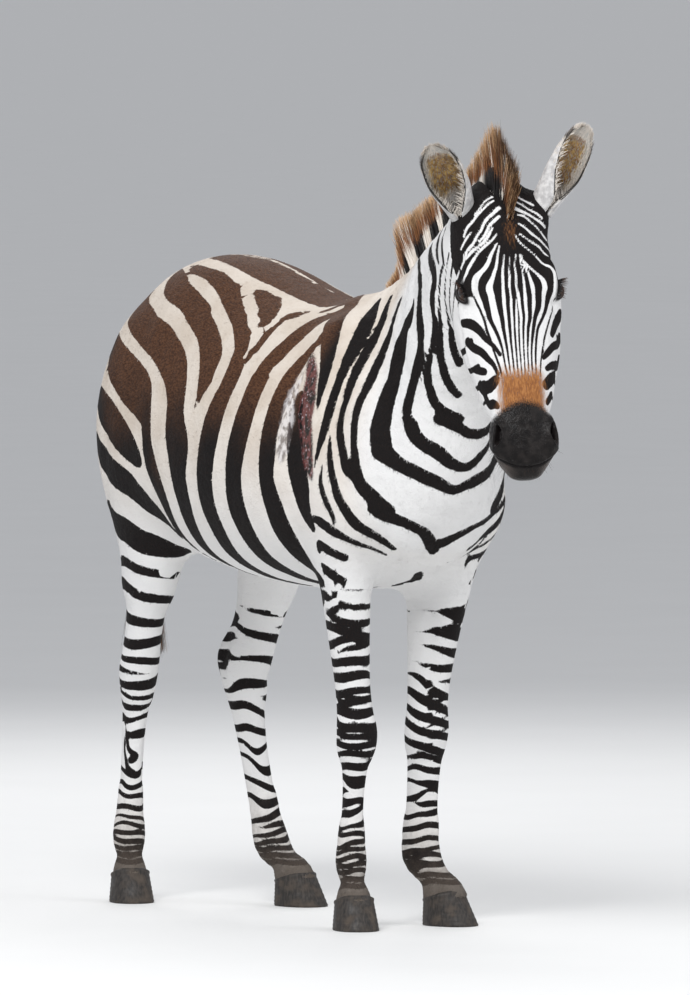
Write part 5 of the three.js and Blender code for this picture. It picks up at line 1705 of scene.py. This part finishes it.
class OBJECT_OT_zebra_ears(bpy.types.Operator):
    """The two ears: deep cups with a thin wall, haired inside"""
    bl_idname = "object.zebra_ears"
    bl_label = "Ears"

    def execute(self, context):
        rng = np.random.RandomState(SEED + 1)
        skin = ear_paint(colours())
        strands = strand_material()
        for name, ear in EARS.items():
            foot, reach, axis, face, side = ear_frame(ear)
            steps = 14
            points, share_of, inner, rim, edge_of = [], [], [], [], []
            rows = smooth_rows(EAR_RINGS, 6)
            fringe = []
            for share, w, d, opening, wall in rows:
                middle = foot + reach * share + face * EAR_BOW * math.sin(math.pi * share)
                wall = wall * 0.72
                for part in (0, 1):
                    order = range(-steps, steps + 1) if part == 0 else range(steps, -steps - 1, -1)
                    for j in order:
                        angle = math.radians(opening - 2 * part) * j / steps
                        thin = 0.5 + wall * part
                        ripple = 0.8 * math.sin(share * 21 + j * 0.5) * (abs(j) / steps) ** 2
                        spot = middle + side * (w - thin) * math.sin(angle) \
                            - face * ((d - thin) * math.cos(angle) + ripple)
                        points.append(spot)
                        share_of.append(share)
                        inner.append(part)
                        rim.append(step_between(0.90, 1.0, abs(j) / steps) if 0.2 < share < 0.95 else 0.0)
                        edge_of.append(abs(j) / steps)
                        outward_way = unit(side * math.sin(angle) - face * math.cos(angle))
                        fringe.append((*spot, *(outward_way * (1 - 2 * part)), share, part, abs(j) / steps,
                                       *(side * np.sign(j))))
            count = (steps * 2 + 1) * 2
            faces = grid_faces(len(rows), count, True)
            faces += [tuple(range(count)), tuple(reversed(range((len(rows) - 1) * count, len(rows) * count)))]
            mesh = mesh_from(f"pinna_{name}", to_model(points), faces)
            outward(mesh)
            for key, values in (("share", share_of), ("inner", inner), ("rim", rim), ("edge", edge_of)):
                put(mesh, key, values)
            made = add_object(f"pinna_{name}", mesh, [skin])
            settle(made, [f"ear_{name}"])
            fringe = np.array(fringe)
            pick = fringe[rng.randint(0, len(fringe), 5200)]
            keep = (pick[:, 6] > 0.03) & (pick[:, 6] < 0.99)
            pick = pick[keep]
            spot = pick[:, :3] + rng.normal(0, 1.6, (len(pick), 3))
            normal, share, part, edge, beside = pick[:, 3:6], pick[:, 6], pick[:, 7], pick[:, 8], pick[:, 9:12]
            spot = spot - ((spot - pick[:, :3]) * normal).sum(1)[:, None] * normal - normal * 0.6
            toward = -beside * 0.75 + face * 0.15
            inside = part > 0.5
            lie = np.where(inside[:, None], axis * 0.9 + toward * (0.25 + 0.75 * edge[:, None]),
                           axis + beside * 0.15)
            lie = lie + rng.normal(0, 0.18, lie.shape)
            lie = unit(lie - (lie * normal).sum(1)[:, None] * normal) + normal * np.where(inside, 0.42, 0.16)[:, None]
            length = np.where(inside, rng.uniform(12, 24, len(pick)) * (1.1 - 0.6 * share),
                              rng.uniform(6, 10, len(pick)))
            dark = np.where(inside, 0.12, 0.8 * (np.abs(share - 0.84) < 0.07))
            golden = inside & (edge < 0.5) & (share > 0.3) & (share < 0.85)
            dark = np.where(golden, 0.55, dark)
            across = 0.5 + 0.4 * edge * np.sign((beside @ side)) * 0.5 + 0.04
            values = {"dark": dark, "warm": golden * 0.75,
                      "root_uv": np.stack([0.46 + 0.15 * share, across, 0 * share], 1)}
            size = strand_size(length)
            made = grow(f"ear_hair_{name}", spot, lie, normal, size, values, strands, 2, 1.1, -0.05, 0.1)
            settle(made)
        return {"FINISHED"}


MANE = [  # root and tip of the hair, and half the brush's thickness
    ((385, 0, 1188), (352, 0, 1212), 8), ((425, 0, 1212), (398, 0, 1258), 12), ((460, 0, 1242), (394, 0, 1332), 15),
    ((500, -3, 1272), (447, -3, 1360), 18), ((570, -10, 1316), (520, -9, 1390), 20),
    ((640, -20, 1350), (602, -18, 1414), 20), ((715, -33, 1378), (690, -32, 1438), 20),
    ((790, -46, 1394), (765, -46, 1484), 20), ((858, -54, 1398), (838, -60, 1533), 18),
    (tuple(on_head(24, 0, -4)), (862, -46, 1491), 15), (tuple(on_head(44, 0, 3)), (890, -41, 1445), 11),
    (tuple(on_head(64, 0, 7)), tuple(on_head(46, 4, 36)), 7),
]
CROWN_ROW = 8
# Where the dark stripes run into the mane, and half how wide, counted in rows of MANE.
MANE_BARS = [(0.6, 0.22), (1.7, 0.3), (3.15, 0.34), (4.05, 0.26), (4.85, 0.26), (5.65, 0.24), (6.4, 0.22),
             (7.05, 0.2), (7.62, 0.16), (8.3, 0.35), (10.2, 0.5)]


def mane_rows():
    return smooth_rows([[*root, *tip, thick] for root, tip, thick in MANE], 24)


def mane_hair(first, last, count, rng):
    """Root, way, length and colour of strands from one row of the mane to another."""
    rows = mane_rows()
    at = rng.uniform(first, last, count)
    k = np.clip(at * 24, 0, len(rows) - 1.001)
    low = k.astype(int)
    row = rows[low] + (rows[low + 1] - rows[low]) * (k - low)[:, None]
    root, tip, thick = row[:, :3], row[:, 3:6], row[:, 6]
    run = unit(rows[np.clip(low + 6, 0, len(rows) - 1), :3] - rows[np.clip(low - 6, 0, len(rows) - 1), :3])
    hair = tip - root
    across = unit(np.cross(run, hair))
    side = rng.uniform(-1, 1, count)
    clump = np.sin(at * 41 + 3 * np.sin(at * 13) + side * 2.2) * 0.5 + np.sin(at * 97 + side * 5) * 0.3
    root = root + across * (side * thick)[:, None] - unit(hair) * 10
    reach = np.linalg.norm(hair, axis=1) + 10
    crown = np.exp(-((at - CROWN_ROW) / 1.1) ** 2)
    length = reach * (1.03 - (0.13 + 0.17 * crown) * np.abs(side) ** 1.6 - (0.18 + 0.14 * crown)
                      * rng.uniform(size=count) ** 2 + 0.045 * clump)
    length = length + 12 * (1 - step_between(1.5, 3, at))
    lie = unit(hair) + across * (rng.normal(0, 0.035, count) - side * thick * (0.6 + 0.35 * crown)
                                / length)[:, None] \
        + run * (0.05 * clump + rng.normal(0, 0.05, count))[:, None]
    rise = across * np.where(side > 0, 1, -1)[:, None] + run * rng.normal(0, 0.7, count)[:, None]
    rise = rise - (rise * unit(lie)).sum(1)[:, None] * unit(lie)
    dark = np.zeros(count)
    for bar, half in MANE_BARS:
        dark = np.maximum(dark, (np.abs(at + rng.normal(0, 0.03, count) - bar) < half))
    return root, unit(lie), unit(rise), length, dark, at, side


def mane_piece(name, first, last, count, node, rng):
    strands = strand_material()
    root, lie, rise, length, dark, at, side = mane_hair(first, last, count, rng)
    size = strand_size(length)
    warm = 0.72 + rng.normal(0, 0.3, count)
    front = (at > CROWN_ROW + 0.35) & (np.abs(side) < 0.62)
    dark = np.where(front, 1.0, dark)
    warm = np.where(front, 0.30 + rng.normal(0, 0.12, count), warm)
    values = {"dark": dark, "warm": np.clip(warm, 0, 1),
              "root_uv": np.stack([0.04 + 0.05 * at, 0.25 + 0.004 * side, 0 * at], 1)}
    made = grow(name, root, lie, rise, size, values, strands, 4, 2.1, 0.035, 0.10)
    settle(made, [node])
    rows = mane_rows()[int(first * 24):int(last * 24) + 1:6]
    points = []
    for row in rows:
        root, hair = row[:3], row[3:6] - row[:3]
        run = unit(rows[-1][:3] - rows[0][:3])
        across = unit(np.cross(run, hair))
        start = root - unit(hair) * 12
        for share, half in ((0, -0.9), (0, 0.9), (0.45, 0.72), (0.8, 0.1), (0.8, -0.1), (0.45, -0.72)):
            points.append(start + hair * share + across * half * row[6])
    faces = grid_faces(len(rows), 6, True)
    faces += [tuple(range(6)), tuple(reversed(range((len(rows) - 1) * 6, len(rows) * 6)))]
    mesh = outward(mesh_from(name + "_bed", to_model(points), faces))
    place = np.repeat(np.linspace(first, last, len(rows)), 6)
    shade = np.zeros(len(place))
    for bar, half in MANE_BARS:
        shade = np.maximum(shade, np.abs(place - bar) < half)
    put(mesh, "dark", shade)
    put(mesh, "tip", np.tile([0, 0, 0.4, 0.8, 0.8, 0.4], len(rows)))
    put(mesh, "warm", np.full(len(place), 0.8))
    settle(add_object(name + "_bed", mesh, [strands]))


class OBJECT_OT_zebra_mane(bpy.types.Operator):
    """The upright mane and the forelock"""
    bl_idname = "object.zebra_mane"
    bl_label = "Mane and forelock"

    def execute(self, context):
        rng = np.random.RandomState(SEED + 2)
        count = sizes().mane_hairs
        mane_piece("mane_hair", 0, CROWN_ROW, count, "mane", rng)
        mane_piece("forelock_hair", CROWN_ROW, len(MANE) - 1.02, count // 4, "forelock", rng)
        return {"FINISHED"}


TUFT = [(-631, 16, 785, 13), (-630, 16, 700, 24), (-627, 16, 610, 31), (-624, 16, 520, 25), (-621, 16, 455, 6)]


class OBJECT_OT_zebra_tail(bpy.types.Operator):
    """The long hair at the end of the tail"""
    bl_idname = "object.zebra_tail"
    bl_label = "Tail tuft"

    def execute(self, context):
        rng = np.random.RandomState(SEED + 3)
        strands = strand_material()
        count = sizes().tail_hairs
        start = 790 - 250 * rng.uniform(size=count) ** 1.5
        turn, reach = rng.uniform(0, 2 * math.pi, count), np.sqrt(rng.uniform(size=count))
        table = np.array(TUFT)[::-1]
        radius = np.interp(start, table[:, 2], table[:, 3]) * reach * 0.85
        x, y = (np.interp(start, table[:, 2], table[:, k]) for k in (0, 1))
        root = np.stack([x + radius * np.cos(turn), y + radius * np.sin(turn), start], 1)
        end = np.maximum(start - rng.uniform(170, 300, count), 445 + 30 * reach)
        out = np.stack([np.cos(turn), np.sin(turn), 0 * turn], 1)
        swell = (np.interp(mix(start, end, 0.5), table[:, 2], table[:, 3]) * reach - radius)
        lie = np.stack([0 * x, 0 * y, end - start], 1) + out * (swell * 0.9)[:, None] \
            + rng.normal(0, 6, (count, 3))
        length = (start - end) * 0.985
        size = strand_size(length)
        values = {"dark": (rng.uniform(size=count) < 0.93) * 1.0, "warm": rng.uniform(0, 0.5, count),
                  "root_uv": np.stack([0.03 + 0.02 * reach, 0.5 + 0.02 * turn / 7, 0 * x], 1)}
        settle(grow("tail_hair", root, lie, out, size, values, strands, 7, 2.2, 0.03, 0.15), ["tail_tuft"])
        return {"FINISHED"}


# Each piece of coat: its share of the tufts, and where they stand.
COAT_PARTS = {
    "coat_body": (1.0, lambda p: ((p[:, 0] <= 430) & (p[:, 2] > 610)) * 1.0),
    "coat_neck": (0.75, lambda p: ((p[:, 0] > 430) & (p[:, 2] > 610) & ~of_head(p)) * 1.0),
    "coat_head": (0.8, lambda p: of_head(p) * np.interp(in_head(p)[0], [395, 430], [1.0, 0.05])),
    "coat_legs": (0.9, lambda p: ((p[:, 2] <= 610) & (p[:, 2] > 52)) * 1.0),
}


class OBJECT_OT_zebra_coat(bpy.types.Operator):
    """Short tufts of coat over the skin, in the lie of the hair"""
    bl_idname = "object.zebra_coat"
    bl_label = "Coat"

    def execute(self, context):
        rng = np.random.RandomState(SEED + 4)
        s = sizes()
        for name, (share, density) in COAT_PARTS.items():
            points, facing, found = scatter(int(s.tufts * share), density, rng)
            keep = found["bare"] < 0.25
            points, facing = points[keep], facing[keep]
            found = {key: values[keep] for key, values in found.items()}
            count, small = len(points), tuft_share(points)
            length = s.coat_length * small * rng.uniform(0.75, 1.2, count)
            lie = lie_of_coat(points, facing) + rng.normal(0, 0.10, (count, 3))
            lie = unit(lie - (lie * facing).sum(1)[:, None] * facing)
            lift = s.coat_lift * rng.uniform(0.5, 1.4, count)
            way = unit(lie + facing * lift[:, None])
            rise = unit(facing - (facing * way).sum(1)[:, None] * way)
            width = np.interp(small, [0.1, 0.5, 1], [0.30, 0.55, 0.8])
            size = np.stack([width * MM, length, length], 1)
            roots = points - facing * 0.5 - lie * (length * 450)[:, None]
            values = {**found, "root_uv": unwrapped(points)}
            settle(grow(name, roots, way, rise, size, values, coat_material(), 2, 2.2, -0.10, 0.12))
        return {"FINISHED"}


LASHES, WHISKERS = 110, 90  # lashes over each eye, whiskers in all


class OBJECT_OT_zebra_whiskers(bpy.types.Operator):
    """Lashes over the eyes and whiskers on the lips and chin"""
    bl_idname = "object.zebra_whiskers"
    bl_label = "Lashes and whiskers"

    def execute(self, context):
        rng = np.random.RandomState(SEED + 5)
        spots, ways, rises, sizes_of = [], [], [], []
        for side in (LEFT, RIGHT):
            along, up, out = eye_axes(side)
            for _ in range(LASHES):
                turn = rng.uniform(0.10, 0.90) * math.pi
                tangent = math.cos(turn) * along + math.sin(turn) * up
                spots.append(on_eye(side, float(lid_edge(np.array(turn))) + 0.06, turn, EYE_RADIUS + 2.0))
                ways.append(unit(out * 0.9 + tangent * 0.45 - vec(0, 0, 0.35) + rng.normal(0, 0.08, 3)))
                rises.append(-up)
                sizes_of.append((0.0006, rng.uniform(0.013, 0.021), 0.016))
        for k in range(WHISKERS):
            down, left = rng.uniform(455, 515), rng.uniform(-50, 50)
            spot = MADE["caster"].nearest(on_head(down, left * 1.1, -95 if k % 2 else -50))
            way = unit(spot - on_head(450, 0, -60)) + 0.5 * HEAD_DOWN + rng.normal(0, 0.12, 3)
            spots.append(spot)
            ways.append(unit(way))
            rises.append(unit(np.cross(way, HEAD_LEFT)))
            sizes_of.append((0.0003, rng.uniform(0.012, 0.026), 0.02))
        count = len(spots)
        values = {"dark": np.ones(count), "warm": np.zeros(count),
                  "root_uv": np.stack([np.linspace(0.4, 0.5, count), np.full(count, 0.25), np.zeros(count)], 1)}
        made = grow("lashes_and_whiskers", *(np.array(rows) for rows in (spots, ways, rises, sizes_of)), values,
                    strand_material(), 4, 1.4, 0.22, 0.1)
        settle(made)
        return {"FINISHED"}


# The stage, in metres and watts; each light has its place, its size and its power.
FLOOR_SIZE = 6000
SKY, SKY_STRENGTH = (0.93, 0.95, 1.0, 1), 0.55
LIGHTS = (("key", (3.2, -3.4, 5.2), 3.0, 290), ("fill", (4.5, 3.6, 3.0), 4.0, 70),
          ("back", (-4.4, 1.8, 4.2), 3.0, 110))
LIGHTS_AIM, CAMERA_AIM = (0, 0, 0.75), (-0.1343, 0.079, 0.803)
CAMERA_AWAY, CAMERA_TILT = 25, math.radians(2.5)
CAMERA_LENS, CAMERA_SENSOR = 470.35, 36
CAMERA_CLIP = 0.5, 5000


class OBJECT_OT_zebra_stage(bpy.types.Operator):
    """The floor, the soft lights and the camera"""
    bl_idname = "object.zebra_stage"
    bl_label = "Stage"

    def execute(self, context):
        bpy.ops.mesh.primitive_plane_add(size=FLOOR_SIZE, location=(0, 0, 0))
        floor = context.active_object
        floor.name = "floor"
        floor.data.materials.append(floor_paint())
        world = bpy.data.worlds.new("soft daylight")
        world.use_nodes = True
        world.node_tree.nodes["Background"].inputs["Color"].default_value = SKY
        world.node_tree.nodes["Background"].inputs["Strength"].default_value = SKY_STRENGTH
        context.scene.world = world
        for name, place, size, power in LIGHTS:
            light = bpy.data.lights.new(name, "AREA")
            light.size, light.energy = size, power
            lamp = bpy.data.objects.new(name, light)
            context.scene.collection.objects.link(lamp)
            lamp.location = place
            lamp.rotation_euler = (Vector(LIGHTS_AIM) - Vector(place)).to_track_quat("-Z", "Y").to_euler()
        level = math.cos(CAMERA_TILT)
        way = Vector((level * VIEW_X, level * VIEW_Y, math.sin(CAMERA_TILT)))
        camera = bpy.data.objects.new("camera", bpy.data.cameras.new("camera"))
        camera.data.lens, camera.data.sensor_width = CAMERA_LENS, CAMERA_SENSOR
        camera.data.clip_start, camera.data.clip_end = CAMERA_CLIP
        camera.location = Vector(CAMERA_AIM) + way * CAMERA_AWAY
        camera.rotation_euler = (-way).to_track_quat("-Z", "Y").to_euler()
        context.scene.collection.objects.link(camera)
        context.scene.camera = camera
        context.scene.view_settings.view_transform = "Standard"
        return {"FINISHED"}


PIECES = (OBJECT_OT_zebra_skin, OBJECT_OT_zebra_eyes, OBJECT_OT_zebra_hooves, OBJECT_OT_zebra_ears,
          OBJECT_OT_zebra_mane, OBJECT_OT_zebra_tail, OBJECT_OT_zebra_coat, OBJECT_OT_zebra_whiskers,
          OBJECT_OT_zebra_stage)


class VIEW3D_PT_zebra(bpy.types.Panel):
    """Sizes, colours and a button for each piece"""
    bl_idname = "VIEW3D_PT_zebra"
    bl_label = "Plains zebra"
    bl_space_type = "VIEW_3D"
    bl_region_type = "UI"
    bl_category = "Zebra"

    def draw(self, context):
        for group in (context.scene.zebra_sizes, context.scene.zebra_colours):
            box = self.layout.box()
            for name in group.bl_rna.properties.keys():
                if name not in {"rna_type", "name"}:
                    box.prop(group, name)
        for piece in PIECES:
            self.layout.operator(piece.bl_idname)


CLASSES = (ZebraSizes, ZebraColours, *PIECES, VIEW3D_PT_zebra)


def register():
    for c in CLASSES:
        bpy.utils.register_class(c)
    bpy.types.Scene.zebra_sizes = bpy.props.PointerProperty(type=ZebraSizes)
    bpy.types.Scene.zebra_colours = bpy.props.PointerProperty(type=ZebraColours)


def unregister():
    del bpy.types.Scene.zebra_sizes, bpy.types.Scene.zebra_colours
    for c in reversed(CLASSES):
        bpy.utils.unregister_class(c)


def main():
    register()
    for name in ("Cube", "Light", "Camera"):
        if name in bpy.data.objects:
            bpy.data.objects.remove(bpy.data.objects[name])
    for piece in PIECES:
        group, name = piece.bl_idname.split(".")
        getattr(getattr(bpy.ops, group), name)()


if __name__ == "__main__":
    main()
